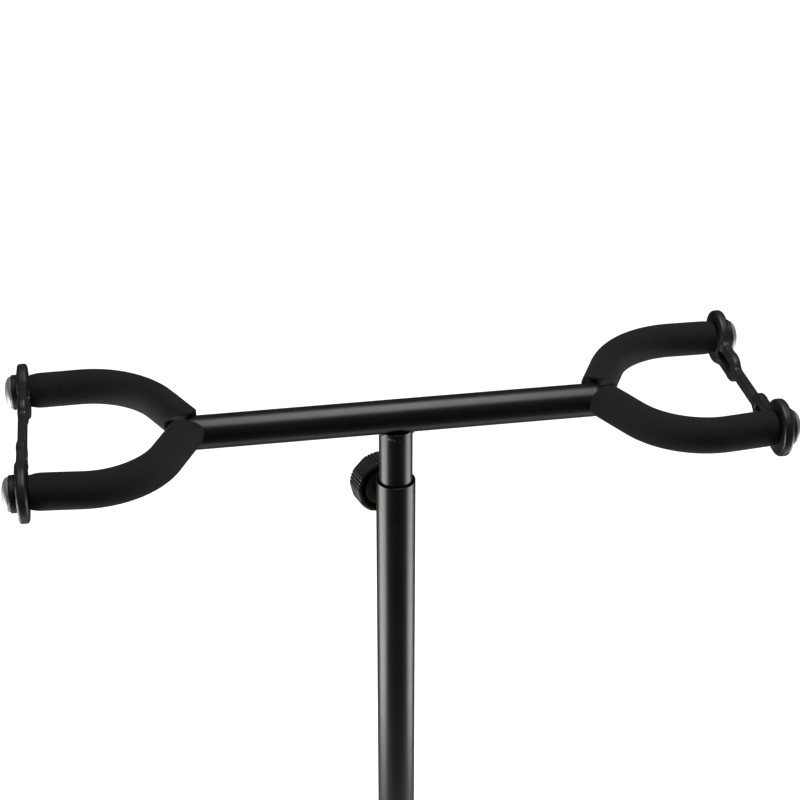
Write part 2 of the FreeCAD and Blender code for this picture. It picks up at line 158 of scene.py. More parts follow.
def carried(line, s, radius, angle, closed=True):
    # point = line(s) + radius * (side(s) cos angle + rise(s) sin angle), side level and square to the line
    length = np.concatenate([[0], np.cumsum(np.linalg.norm(np.diff(line, axis=0), axis=1))])
    tangent = np.gradient(line, length, axis=0)
    tangent = tangent / np.linalg.norm(tangent, axis=1)[:, None]
    side = np.cross(tangent, zWay)
    side = side / np.linalg.norm(side, axis=1)[:, None]
    rise = np.cross(side, tangent)
    pick = [np.stack([np.interp(s, length, values[:, k]) for k in range(3)], -1)
            for values in (line, side, rise)]
    before = np.minimum(s, 0)[..., None] * tangent[0]
    spoke = pick[1] * np.cos(angle)[..., None] + pick[2] * np.sin(angle)[..., None]
    return sheetPart(pick[0] + before + spoke * radius[..., None], closed, True)


def fieldSurface(field, lowest, highest, cell):
    # the zero surface of a distance field: a vertex in each grid cell it crosses, at the mean of the crossings
    # of the cell's edges and then drawn on to the surface along the gradient; a face round each crossed edge
    axes = [np.arange(a - 2 * cell, b + 3 * cell, cell) for a, b in zip(lowest, highest)]
    nodes = np.stack(np.meshgrid(*axes, indexing="ij"), -1)
    values = field(nodes.reshape(-1, 3)).reshape(nodes.shape[:3])
    cells = tuple(n - 1 for n in values.shape)
    total = np.zeros(cells + (3,))
    count = np.zeros(cells)
    crossings = []
    for k in range(3):
        lowEnd = tuple(slice(0, -1) if a == k else slice(None) for a in range(3))
        highEnd = tuple(slice(1, None) if a == k else slice(None) for a in range(3))
        first, last = values[lowEnd], values[highEnd]
        crossed = (first < 0) != (last < 0)
        share = np.where(crossed, first / np.where(crossed, first - last, 1), 0)
        place = nodes[lowEnd] + share[..., None] * np.eye(3)[k] * cell
        crossings.append((crossed, first < 0))
        for da in (0, 1):
            for db in (0, 1):
                window = [slice(None)] * 3
                window[(k + 1) % 3] = slice(da, da + cells[(k + 1) % 3])
                window[(k + 2) % 3] = slice(db, db + cells[(k + 2) % 3])
                hit = crossed[tuple(window)]
                total += place[tuple(window)] * hit[..., None]
                count += hit
    active = count > 0
    index = np.cumsum(active).reshape(cells) - 1
    vertices = total[active] / count[active][:, None]
    faces = []
    for k, (crossed, lowInside) in enumerate(crossings):
        inner = [slice(None)] * 3
        inner[(k + 1) % 3] = slice(1, -1)
        inner[(k + 2) % 3] = slice(1, -1)
        crossed, lowInside = crossed[tuple(inner)], lowInside[tuple(inner)]
        corners = []
        for da, db in ((0, 0), (1, 0), (1, 1), (0, 1)):
            window = [slice(None)] * 3
            window[(k + 1) % 3] = slice(da, cells[(k + 1) % 3] - 1 + da)
            window[(k + 2) % 3] = slice(db, cells[(k + 2) % 3] - 1 + db)
            corners.append(index[tuple(window)][crossed])
        quads = np.stack(corners, -1)
        outward = lowInside[crossed]
        faces += [quads[outward], quads[~outward][:, ::-1]]
    nudge = cell * 0.05
    for _ in range(3):
        here = field(vertices)
        slope = np.stack([field(vertices + nudge * np.eye(3)[k]) - here for k in range(3)], -1) / nudge
        vertices = vertices - slope * (here / np.maximum((slope ** 2).sum(-1), 0.2))[:, None]
    return vertices, np.concatenate(faces)


def turnedPart(part, degrees):
    # the same part turned about the post's axis
    c, s = math.cos(math.radians(degrees)), math.sin(math.radians(degrees))
    return part[0] @ np.array([[c, s, 0], [-s, c, 0], [0, 0, 1]]), part[1]


def makePiece(name, parts, material, body, replaced=(), sharp=50):
    # one mesh from several closed parts: poles and seams merged, normals outward, smooth but for sharp edges
    if isinstance(parts, tuple):
        parts = [parts]
    offsets = np.cumsum([0] + [len(p[0]) for p in parts[:-1]])
    vertices = np.concatenate([p[0] for p in parts])
    faces = np.concatenate([p[1] + o for p, o in zip(parts, offsets)])
    mesh = bpy.data.meshes.new(name)
    mesh.from_pydata(vertices.tolist(), [], faces.tolist())
    work = bmesh.new()
    work.from_mesh(mesh)
    bmesh.ops.remove_doubles(work, verts=work.verts, dist=2e-6)
    bmesh.ops.recalc_face_normals(work, faces=work.faces)
    work.to_mesh(mesh)
    work.free()
    mesh.validate()
    mesh.shade_smooth()
    mesh.set_sharp_from_angle(angle=math.radians(sharp))
    mesh.materials.append(material)
    made = bpy.data.objects.new(name, mesh)
    bpy.context.scene.collection.objects.link(made)
    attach(made, body)
    if replaced:
        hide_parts(*replaced)
    return made


def sideName(base, side):
    return base + ("_right" if side > 0 else "_left")


def discField(p, centre, k, radius, half, rounding):
    # rounded disc: distance to a circle in the plane square to axis k, and to its two faces
    q = p - centre
    flat = np.delete(q, k, axis=1)
    out = np.hypot(flat[:, 0], flat[:, 1]) - (radius - rounding)
    over = np.abs(q[:, k]) - (half - rounding)
    both = np.hypot(np.maximum(out, 0), np.maximum(over, 0))
    return both + np.minimum(np.maximum(out, over), 0) - rounding


def blockField(p, centre, halves, rounding):
    q = np.abs(p - centre) - (np.asarray(halves) - rounding)
    outside = np.linalg.norm(np.maximum(q, 0), axis=1)
    return outside + np.minimum(q.max(axis=1), 0) - rounding


def rodField(p, start, stop, radius):
    # capsule: distance to the line from start to stop
    start, stop = np.asarray(start), np.asarray(stop)
    run = stop - start
    share = np.clip(((p - start) @ run) / (run @ run), 0, 1)
    return np.linalg.norm(p - start - share[:, None] * run, axis=1) - radius


def boreField(p, point, way, radius):
    way = np.asarray(way) / np.linalg.norm(way)
    q = p - point
    return np.linalg.norm(q - (q @ way)[:, None] * way, axis=1) - radius


def blendFields(a, b, size):
    # polynomial smooth minimum of two distances
    h = np.clip(0.5 + 0.5 * (b - a) / size, 0, 1)
    return b * (1 - h) + a * h - size * h * (1 - h)


def cutField(a, b, size):
    return -blendFields(-a, b, size)


def addNode(tree, kind, settings=None, **sockets):
    node = tree.nodes.new(kind)
    for key, value in (settings or {}).items():
        setattr(node, key, value)
    for key, value in sockets.items():
        socket = node.inputs[int(key[2:])] if key.startswith("in") else node.inputs[key.replace("_", " ")]
        if isinstance(value, bpy.types.NodeSocket):
            tree.links.new(value, socket)
        else:
            socket.default_value = value
    return node


def newGroup(name, inputs, outputs):
    tree = bpy.data.node_groups.new(name, "ShaderNodeTree")
    for title, kind, value in inputs:
        made = tree.interface.new_socket(name=title, in_out="INPUT", socket_type=kind)
        if value is not None:
            made.default_value = value
    for title in outputs:
        tree.interface.new_socket(name=title, in_out="OUTPUT", socket_type="NodeSocketFloat")
    return tree, tree.nodes.new("NodeGroupInput"), tree.nodes.new("NodeGroupOutput")


def math2(tree, operation, a, b=0.0, clamp=False):
    settings = {"operation": operation, "use_clamp": clamp}
    return addNode(tree, "ShaderNodeMath", settings, in0=a, in1=b).outputs[0]


def ramped(tree, value, fromLow, fromHigh, toLow=0.0, toHigh=1.0):
    made = addNode(tree, "ShaderNodeMapRange", {"interpolation_type": "SMOOTHSTEP"}, Value=value,
                   From_Min=fromLow, From_Max=fromHigh, To_Min=toLow, To_Max=toHigh)
    return made.outputs["Result"]


def noise(tree, vector, scale, detail=3.0, rough=0.55):
    return addNode(tree, "ShaderNodeTexNoise", None, Vector=vector, Scale=scale, Detail=detail,
                   Roughness=rough).outputs["Fac"]


def grainGroup():
    # broad tone changes, and a fine two-scale grain for bump
    tree, given, out = newGroup("surface grain", [("Vector", "NodeSocketVector", None),
                                                  ("Broad Scale", "NodeSocketFloat", 30.0),
                                                  ("Fine Scale", "NodeSocketFloat", 900.0)], ["Tone", "Fine"])
    broad = noise(tree, given.outputs["Vector"], given.outputs["Broad Scale"], 4.0, 0.6)
    tree.links.new(ramped(tree, broad, 0.3, 0.7), out.inputs["Tone"])
    fine = noise(tree, given.outputs["Vector"], given.outputs["Fine Scale"], 2.0, 0.5)
    coarser = math2(tree, "MULTIPLY", given.outputs["Fine Scale"], 0.27)
    second = noise(tree, given.outputs["Vector"], coarser, 2.0, 0.5)
    tree.links.new(math2(tree, "ADD", math2(tree, "MULTIPLY", fine, 0.5), math2(tree, "MULTIPLY", second, 0.5)),
                   out.inputs["Fine"])
    return tree


def wearGroup():
    # rubbed edges: convex edges broken up by noise
    tree, given, out = newGroup("edge wear", [("Vector", "NodeSocketVector", None),
                                              ("Scale", "NodeSocketFloat", 250.0),
                                              ("Amount", "NodeSocketFloat", 0.5)], ["Mask"])
    edge = tree.nodes.new("ShaderNodeNewGeometry").outputs["Pointiness"]
    patchy = noise(tree, given.outputs["Vector"], given.outputs["Scale"], 4.0, 0.65)
    raised = ramped(tree, edge, 0.53, 0.62)
    broken = ramped(tree, patchy, 0.45, 0.7)
    both = math2(tree, "MULTIPLY", math2(tree, "MULTIPLY", raised, broken), given.outputs["Amount"], True)
    tree.links.new(both, out.inputs["Mask"])
    return tree


def dustGroup():
    # settled dust: surfaces that face up, in soft patches and fine specks
    tree, given, out = newGroup("settled dust", [("Vector", "NodeSocketVector", None),
                                                 ("Scale", "NodeSocketFloat", 60.0),
                                                 ("Amount", "NodeSocketFloat", 0.3)], ["Mask"])
    normal = tree.nodes.new("ShaderNodeNewGeometry").outputs["Normal"]
    upward = addNode(tree, "ShaderNodeSeparateXYZ", None, Vector=normal).outputs["Z"]
    facing = ramped(tree, upward, 0.1, 1.0)
    patchy = ramped(tree, noise(tree, given.outputs["Vector"], given.outputs["Scale"], 5.0, 0.7), 0.35, 0.75)
    specks = ramped(tree, noise(tree, given.outputs["Vector"], 2600.0, 1.0, 0.5), 0.62, 0.72)
    layer = math2(tree, "ADD", math2(tree, "MULTIPLY", patchy, 0.55), math2(tree, "MULTIPLY", specks, 0.45))
    masked = math2(tree, "MULTIPLY", math2(tree, "MULTIPLY", facing, layer), given.outputs["Amount"], True)
    tree.links.new(masked, out.inputs["Mask"])
    return tree


def scratchGroup():
    # hairlines: a noise drawn out along Along and kept only near one level
    tree, given, out = newGroup("hairline scratches", [("Vector", "NodeSocketVector", None),
                                                       ("Stretch", "NodeSocketVector", (500.0, 500.0, 24.0)),
                                                       ("Width", "NodeSocketFloat", 0.012)], ["Mask"])
    drawn = addNode(tree, "ShaderNodeVectorMath", {"operation": "MULTIPLY"}, in0=given.outputs["Vector"],
                    in1=given.outputs["Stretch"]).outputs["Vector"]
    level = math2(tree, "ABSOLUTE", math2(tree, "SUBTRACT", noise(tree, drawn, 1.0, 1.5, 0.5), 0.5))
    line = math2(tree, "LESS_THAN", level, given.outputs["Width"])
    rare = ramped(tree, noise(tree, given.outputs["Vector"], 45.0, 2.0, 0.5), 0.58, 0.68)
    tree.links.new(math2(tree, "MULTIPLY", line, rare), out.inputs["Mask"])
    return tree


grain, wear, dust, scratch = grainGroup(), wearGroup(), dustGroup(), scratchGroup()


def startMaterial(name, roughness, metallic=0.0, **shaderValues):
    material = bpy.data.materials.new(name)
    material.use_nodes = True
    tree = material.node_tree
    shader = tree.nodes["Principled BSDF"]
    shader.inputs["Roughness"].default_value = roughness
    shader.inputs["Metallic"].default_value = metallic
    for key, value in shaderValues.items():
        shader.inputs[key.replace("_", " ")].default_value = value
    place = tree.nodes.new("ShaderNodeTexCoord").outputs["Object"]
    return material, tree, shader, place


def placed(tree, group, place, **values):
    node = tree.nodes.new("ShaderNodeGroup")
    node.node_tree = group
    tree.links.new(place, node.inputs["Vector"])
    for key, value in values.items():
        node.inputs[key.replace("_", " ")].default_value = value
    return node


def mixed(tree, share, a, b):
    made = addNode(tree, "ShaderNodeMix", {"data_type": "RGBA"}, in0=share)
    for socket, value in ((made.inputs[6], a), (made.inputs[7], b)):
        if isinstance(value, bpy.types.NodeSocket):
            tree.links.new(value, socket)
        else:
            socket.default_value = (*value, 1.0)
    return made.outputs[2]


def bumped(tree, shader, height, distance, strength=1.0):
    bump = addNode(tree, "ShaderNodeBump", None, Height=height, Distance=distance, Strength=strength)
    tree.links.new(bump.outputs["Normal"], shader.inputs["Normal"])


def finishSurface(tree, shader, colour, roughness):
    tree.links.new(colour, shader.inputs["Base Color"])
    tree.links.new(roughness, shader.inputs["Roughness"])


coatLook = {"dark": (0.0060, 0.0060, 0.0061), "light": (0.0078, 0.0078, 0.0079),
            "bare": (0.20, 0.195, 0.19), "dust": (0.10, 0.098, 0.09), "smoothest": 0.31, "roughest": 0.34,
            "peel": 0.00008}


def coatMaterial(name, stretch=(500.0, 500.0, 24.0), chips=()):
    # satin powder coat: orange peel, hairlines, thin dust, bare metal at rubbed edges and at chips
    look = coatLook
    material, tree, shader, place = startMaterial(name, 0.28, 0.0, IOR=1.5)
    tone = placed(tree, grain, place, Broad_Scale=38.0, Fine_Scale=620.0)
    worn = placed(tree, wear, place, Scale=420.0, Amount=0.55)
    dusty = placed(tree, dust, place, Scale=70.0, Amount=0.06)
    lines = placed(tree, scratch, place, Stretch=stretch, Width=0.006)
    colour = mixed(tree, tone.outputs["Tone"], look["dark"], look["light"])
    colour = mixed(tree, math2(tree, "MULTIPLY", lines.outputs["Mask"], 0.12), colour, look["bare"])
    bare = worn.outputs["Mask"]
    for centre, size in chips:
        away = addNode(tree, "ShaderNodeVectorMath", {"operation": "SUBTRACT"}, in0=place, in1=tuple(centre))
        spread = addNode(tree, "ShaderNodeVectorMath", {"operation": "DIVIDE"}, in0=away.outputs["Vector"],
                         in1=tuple(size))
        distance = addNode(tree, "ShaderNodeVectorMath", {"operation": "LENGTH"}, in0=spread.outputs["Vector"])
        ragged = math2(tree, "ADD", distance.outputs["Value"], noise(tree, place, 1400.0, 3.0, 0.6))
        bare = math2(tree, "MAXIMUM", bare, ramped(tree, ragged, 1.25, 1.5, 1.0, 0.0))
    colour = mixed(tree, bare, colour, look["bare"])
    colour = mixed(tree, dusty.outputs["Mask"], colour, look["dust"])
    rough = ramped(tree, tone.outputs["Tone"], 0.0, 1.0, look["smoothest"], look["roughest"])
    rough = math2(tree, "ADD", rough, math2(tree, "MULTIPLY", dusty.outputs["Mask"], 0.5))
    finishSurface(tree, shader, colour, rough)
    tree.links.new(math2(tree, "MULTIPLY", bare, 0.7), shader.inputs["Metallic"])
    bumped(tree, shader, tone.outputs["Fine"], look["peel"], 0.3)
    return material


def weldMaterial():
    # coated weld: lumpy, with spatter and a few bright rubbed spots
    material, tree, shader, place = startMaterial("weldCoat", 0.4, 0.0, IOR=1.5)
    tone = placed(tree, grain, place, Broad_Scale=160.0, Fine_Scale=700.0)
    worn = placed(tree, wear, place, Scale=500.0, Amount=0.8)
    spots = ramped(tree, noise(tree, place, 420.0, 2.0, 0.5), 0.66, 0.7)
    colour = mixed(tree, tone.outputs["Tone"], (0.007, 0.007, 0.007), (0.014, 0.013, 0.012))
    bare = math2(tree, "MAXIMUM", worn.outputs["Mask"], math2(tree, "MULTIPLY", spots, 0.6))
    colour = mixed(tree, bare, colour, (0.22, 0.20, 0.18))
    finishSurface(tree, shader, colour, ramped(tree, tone.outputs["Tone"], 0.0, 1.0, 0.32, 0.52))
    tree.links.new(math2(tree, "MULTIPLY", bare, 0.8), shader.inputs["Metallic"])
    bumped(tree, shader, tone.outputs["Fine"], 0.0006, 0.6)
    return material


# the darkest foam colour is painted shade for the pits at the cells' mouths, not a colour of the foam itself
foamLook = {"dark": (0.0155, 0.0148, 0.0136), "light": (0.0225, 0.0215, 0.0197),
            "poreShade": (0.003, 0.003, 0.003), "cell": 1500.0}


def foamMaterial():
    # closed-cell foam: small round cells whose mouths are pits in the bump and are painted darker as the shade
    # inside them, a slightly furry grazing sheen, dust on top
    look = foamLook
    material, tree, shader, place = startMaterial("foamSleeve", 0.9, 0.0, IOR=1.45, Sheen_Weight=0.02,
                                                  Sheen_Roughness=0.5, Specular_IOR_Level=0.25)
    shader.inputs["Sheen Tint"].default_value = (0.9, 0.88, 0.82, 1.0)
    tone = placed(tree, grain, place, Broad_Scale=55.0, Fine_Scale=1100.0)
    dusty = placed(tree, dust, place, Scale=120.0, Amount=0.05)
    cells = addNode(tree, "ShaderNodeTexVoronoi", {"feature": "SMOOTH_F1"}, Vector=place, Scale=look["cell"],
                    Smoothness=0.6)
    mouth = ramped(tree, cells.outputs["Distance"], 0.05, 0.35)
    large = addNode(tree, "ShaderNodeTexVoronoi", {"feature": "F1"}, Vector=place, Scale=look["cell"] * 0.33)
    burst = ramped(tree, large.outputs["Distance"], 0.06, 0.16)
    colour = mixed(tree, tone.outputs["Tone"], look["dark"], look["light"])
    # painted shade: the centres of the small and the larger cells are darkened nearly to black, as shade inside
    # the pits the bump presses in there
    colour = mixed(tree, math2(tree, "MULTIPLY", mouth, burst), look["poreShade"], colour)
    colour = mixed(tree, dusty.outputs["Mask"], colour, (0.08, 0.077, 0.07))
    finishSurface(tree, shader, colour, ramped(tree, tone.outputs["Tone"], 0.0, 1.0, 0.85, 0.95))
    height = math2(tree, "ADD", math2(tree, "MULTIPLY", mouth, 0.6), math2(tree, "MULTIPLY", burst, 0.5))
    height = math2(tree, "ADD", height, math2(tree, "MULTIPLY", tone.outputs["Fine"], 0.9))
    bumped(tree, shader, height, 0.00022, 0.55)
    return material


def rubberMaterial(name, dark, light, smoothest, roughest):
    # moulded rubber: faint flow marks, fine mould grain, dust held on upper faces, edges rubbed lighter
    material, tree, shader, place = startMaterial(name, 0.45, 0.0, IOR=1.52)
    tone = placed(tree, grain, place, Broad_Scale=48.0, Fine_Scale=1300.0)
    worn = placed(tree, wear, place, Scale=300.0, Amount=0.35)
    dusty = placed(tree, dust, place, Scale=110.0, Amount=0.16)
    lines = placed(tree, scratch, place, Stretch=(60.0, 60.0, 900.0), Width=0.01)
    colour = mixed(tree, tone.outputs["Tone"], dark, light)
    colour = mixed(tree, worn.outputs["Mask"], colour, (0.06, 0.058, 0.055))
    colour = mixed(tree, math2(tree, "MULTIPLY", lines.outputs["Mask"], 0.25), colour, (0.06, 0.058, 0.055))
    colour = mixed(tree, dusty.outputs["Mask"], colour, (0.12, 0.116, 0.105))
    rough = ramped(tree, tone.outputs["Tone"], 0.0, 1.0, smoothest, roughest)
    dull = math2(tree, "MULTIPLY", dusty.outputs["Mask"], 0.4)
    finishSurface(tree, shader, colour, math2(tree, "ADD", rough, dull))
    bumped(tree, shader, tone.outputs["Fine"], 0.00012, 0.45)
    return material


def plasticMaterial():
    # moulded plastic: spark-eroded grain, scuffed edges
    material, tree, shader, place = startMaterial("mouldedPlastic", 0.42, 0.0, IOR=1.5)
    tone = placed(tree, grain, place, Broad_Scale=60.0, Fine_Scale=1600.0)
    worn = placed(tree, wear, place, Scale=380.0, Amount=0.5)
    dusty = placed(tree, dust, place, Scale=130.0, Amount=0.14)
    colour = mixed(tree, tone.outputs["Tone"], (0.017, 0.0168, 0.016), (0.027, 0.0264, 0.025))
    colour = mixed(tree, worn.outputs["Mask"], colour, (0.085, 0.083, 0.078))
    colour = mixed(tree, dusty.outputs["Mask"], colour, (0.11, 0.107, 0.098))
    finishSurface(tree, shader, colour, ramped(tree, tone.outputs["Tone"], 0.0, 1.0, 0.36, 0.5))
    bumped(tree, shader, tone.outputs["Fine"], 0.00016, 0.5)
    return material


def metalMaterial(name, dark, light, smoothest, roughest, brush, tarnish, depth=0.00005, metallic=1.0):
    # plated or turned metal: brushed tone, hairlines, a little dust and a darker tarnish in patches
    material, tree, shader, place = startMaterial(name, 0.35, metallic)
    tone = placed(tree, grain, place, Broad_Scale=90.0, Fine_Scale=1200.0)
    dusty = placed(tree, dust, place, Scale=140.0, Amount=0.12)
    lines = placed(tree, scratch, place, Stretch=brush, Width=0.03)
    drawn = addNode(tree, "ShaderNodeVectorMath", {"operation": "MULTIPLY"}, in0=place,
                    in1=brush).outputs["Vector"]
    streaks = noise(tree, drawn, 2.0, 3.0, 0.6)
    colour = mixed(tree, streaks, dark, light)
    stained = ramped(tree, noise(tree, place, 170.0, 5.0, 0.6), 0.55, 0.75, 0.0, 0.5)
    colour = mixed(tree, stained, colour, tarnish)
    colour = mixed(tree, dusty.outputs["Mask"], colour, (0.3, 0.29, 0.27))
    rough = ramped(tree, tone.outputs["Tone"], 0.0, 1.0, smoothest, roughest)
    dull = math2(tree, "MULTIPLY", lines.outputs["Mask"], 0.1)
    finishSurface(tree, shader, colour, math2(tree, "ADD", rough, dull))
    height = math2(tree, "ADD", streaks, math2(tree, "MULTIPLY", tone.outputs["Fine"], 0.4))
    bumped(tree, shader, height, depth, 0.35)
    return material


barZ = middle("cross_bar")[2]
tubeRadius = high("inner_tube")[0]                 # inner tube and cross bar are the same stock
barHalf = high("cross_bar")[0]
postRadius = high("outer_tube")[0]
rimZ = high("outer_tube")[2]
wall = 1.2 * mm
strapIn = low("neck_strap_right")[0]
strapOut = high("neck_strap_right")[0]
prongY = high("prong_collars")[1] - (high("prong_collars")[2] - low("prong_collars")[2]) / 2
prongZ = middle("prong_collars")[2]
ringRadius = high("neck_strap_right")[1] - prongY

chipSpots = [((-0.0052, -0.0093, barZ - 0.0118), (0.0022, 0.003, 0.0009)),
             ((-0.0026, -0.0103, barZ - 0.0125), (0.0011, 0.003, 0.0006)),
             ((0.0010, -0.0106, barZ - 0.0132), (0.0007, 0.003, 0.0006))]
postCoat = coatMaterial("postCoat")
stemCoat = coatMaterial("stemCoat", chips=chipSpots)
barCoat = coatMaterial("barCoat", stretch=(24.0, 500.0, 500.0))
weldCoat = weldMaterial()
foam = foamMaterial()
strapRubber = rubberMaterial("strapRubber", (0.0140, 0.0136, 0.0127), (0.0230, 0.0223, 0.0208), 0.34, 0.44)
footRubber = rubberMaterial("footRubber", (0.010, 0.0098, 0.0092), (0.017, 0.0165, 0.0155), 0.5, 0.66)
collarRubber = rubberMaterial("collarRubber", (0.0035, 0.0034, 0.0033), (0.0060, 0.0059, 0.0056), 0.5, 0.6)
plastic = plasticMaterial()
satinSilver = metalMaterial("satinSilver", (0.40, 0.396, 0.385), (0.46, 0.456, 0.445), 0.48, 0.54,
                            (500.0, 500.0, 500.0), (0.33, 0.32, 0.30), depth=0.00001, metallic=0.5)
zincPlate = metalMaterial("zincPlate", (0.42, 0.43, 0.44), (0.58, 0.585, 0.59), 0.25, 0.42,
                          (400.0, 400.0, 60.0), (0.30, 0.29, 0.25))
turnedBrass = metalMaterial("turnedBrass", (0.52, 0.37, 0.15), (0.68, 0.50, 0.22), 0.25, 0.4,
                            (400.0, 400.0, 400.0), (0.28, 0.19, 0.09))
pressedSteel = coatMaterial("pressedSteelCoat", stretch=(80.0, 80.0, 300.0))
print("materials made")

post = {"rimRound": 0.5 * mm, "lipRound": 0.35 * mm, "copeFrom": 20 * mm, "copePast": 0.3 * mm, "around": 128}


def tubeOutline(start, stop, radius, thick, rounding):
    corners = [(start, radius - thick), (start, radius), (stop, radius), (stop, radius - thick)]
    return roundedOutline(corners, [rounding * 0.8, rounding, rounding, rounding * 0.8], 5)


def makePost():
    bottom = low("outer_tube")[2]
    outline = tubeOutline(bottom, rimZ, postRadius, wall, post["rimRound"])
    makePiece("outerTube", turned(outline, (0, 0, 0), zWay, post["around"]), postCoat, "base",
              ["outer_tube"])
    # the stem's straight-cut lip stands under the bar and is coped only where the bar reaches below it
    bottom = low("inner_tube")[2]
    outline = tubeOutline(bottom, high("inner_tube")[2], tubeRadius, wall, post["lipRound"])
    points, faces = turned(outline, (0, 0, 0), zWay, post["around"])
    under = barZ - np.sqrt(np.maximum(tubeRadius ** 2 - points[:, 1] ** 2, 0))
    coped = np.minimum(points[:, 2], under + post["copePast"])
    points[:, 2] = np.where(points[:, 2] > barZ - post["copeFrom"], coped, points[:, 2])
    makePiece("innerTube", (points, faces), stemCoat, "head", ["inner_tube"])


bar = {"drawn": 9.0 * mm, "squareness": 2.3, "rows": 40}


def makeBar():
    # radius = tube radius * (1 - t^n)^(1/n) over each drawn-in end, t running from 0 to 1 at the tip
    t = np.sin(np.linspace(0, math.pi / 2, bar["rows"]))
    n = bar["squareness"]
    endRadius = tubeRadius * np.maximum(1 - t ** n, 0) ** (1 / n)
    x = barHalf - bar["drawn"] + bar["drawn"] * t
    right = np.stack([x, endRadius], -1)
    outline = np.concatenate([right[::-1] * (-1, 1), right])[::-1]
    part = turned(outline, (0, 0, barZ), xWay, post["around"], closed=False)
    makePiece("crossBar", part, barCoat, "head", ["cross_bar"])


barBead = {"radius": 1.0 * mm, "reach": 42.0, "ripples": 15, "proud": 0.1 * mm, "rows": 90, "around": 20}


def makeBarWeld():
    # bead along the stem's saddle on each side: centre on the curve where tube and bar meet, radius rippling
    parts = []
    reach = math.radians(barBead["reach"])
    for side in (1, -1):
        a = np.linspace(-reach, reach, barBead["rows"])
        y = tubeRadius * np.sin(a)
        x = side * (tubeRadius * np.cos(a) + barBead["proud"])
        line = np.stack([x, y, barZ - np.sqrt(tubeRadius ** 2 - y ** 2)], -1)
        s = np.linspace(0, lineLength(line), barBead["rows"])[:, None] + np.zeros((1, barBead["around"]))
        share = s / s.max()
        taper = np.sqrt(np.clip(1 - (2 * share - 1) ** 6, 0, 1))
        radius = barBead["radius"] * taper * (1 + 0.14 * np.sin(2 * math.pi * barBead["ripples"] * share))
        angle = np.linspace(0, 2 * math.pi, barBead["around"], endpoint=False)[None, :] + 0 * s
        parts.append(carried(line, s, radius, angle, closed=False))
    makePiece("barWeld", parts, weldCoat, "head", ["bar_weld"])


makePost()
makeBar()
makeBarWeld()
print("post and bar made")

yoke = {"rod": 5.0 * mm, "rise": 3.65 * mm, "throat": 132.6 * mm, "throatBend": 14.0 * mm,
        "elbow": (166.6 * mm, 67.6 * mm), "elbowBend": 54.7 * mm, "stub": 8.0 * mm, "stubBend": 60.0 * mm,
        "rodPast": 8.0 * mm, "rows": 200}


def yokePoints(side, far, endX):
    elbowX, elbowY = yoke["elbow"]
    throat = np.array([side * yoke["throat"], 0, barZ + yoke["rise"]])
    elbow = np.array([side * elbowX, far * elbowY, barZ + yoke["rise"]])
    stub = np.array([side * (strapIn - yoke["stub"]), far * prongY, prongZ])
    end = np.array([side * endX, far * prongY, prongZ])
    return throat, elbow, stub, end


def roundBar(line, radius, rows, edge=0.8 * mm):
    # full round bar along a line with slightly rounded ends
    length = lineLength(line)
    cap = np.linspace(0, math.pi / 2, 6)
    s = np.concatenate([[0], edge * (1 - np.cos(cap)), np.linspace(2 * mm, length - 2 * mm, rows),
                        length - edge * (1 - np.cos(cap[::-1])), [length]])[:, None]
    r = np.concatenate([[0], radius - edge * (1 - np.sin(cap)), np.full(rows, radius),
                        radius - edge * (1 - np.sin(cap[::-1])), [0]])[:, None]
    angle = np.linspace(0, 2 * math.pi, 40, endpoint=False)[None, :]
    return carried(line, s + 0 * angle, r + 0 * angle, angle + 0 * s, closed=False)


def makeRods():
    for side in (1, -1):
        endX = strapOut + yoke["rodPast"]
        throat, elbow, stub, end = yokePoints(side, 1, endX)
        _, nearElbow, nearStub, nearEnd = yokePoints(side, -1, endX)
        bends = [yoke["stubBend"], yoke["elbowBend"], yoke["throatBend"], yoke["elbowBend"], yoke["stubBend"]]
        line = routeLine([end, stub, elbow, throat, nearElbow, nearStub, nearEnd], bends)
        part = roundBar(line, yoke["rod"], yoke["rows"])
        makePiece(sideName("yokeRod", side), part, barCoat, "head",
                  [sideName("yoke_rod", side)])


# mm from the throat to each sleeve's cut end, at its top, its post side, its underside and its mouth side
sleeveCuts = {(1, 1): (2.2, 11.5, 13.0, 13.0), (-1, 1): (-0.5, 11.0, 13.0, 13.0),
              (1, -1): (9.5, 8.0, 12.0, 13.0), (-1, -1): (8.0, 2.6, 11.0, 13.0)}
sleeve = {"radius": 11.6 * mm, "bore": 5.15 * mm, "neck": 10.6 * mm, "neckLength": 4.0 * mm,
          "edge": 1.3 * mm, "lump": 0.035 * mm, "dish": 0.7 * mm, "around": 96, "rows": 190}


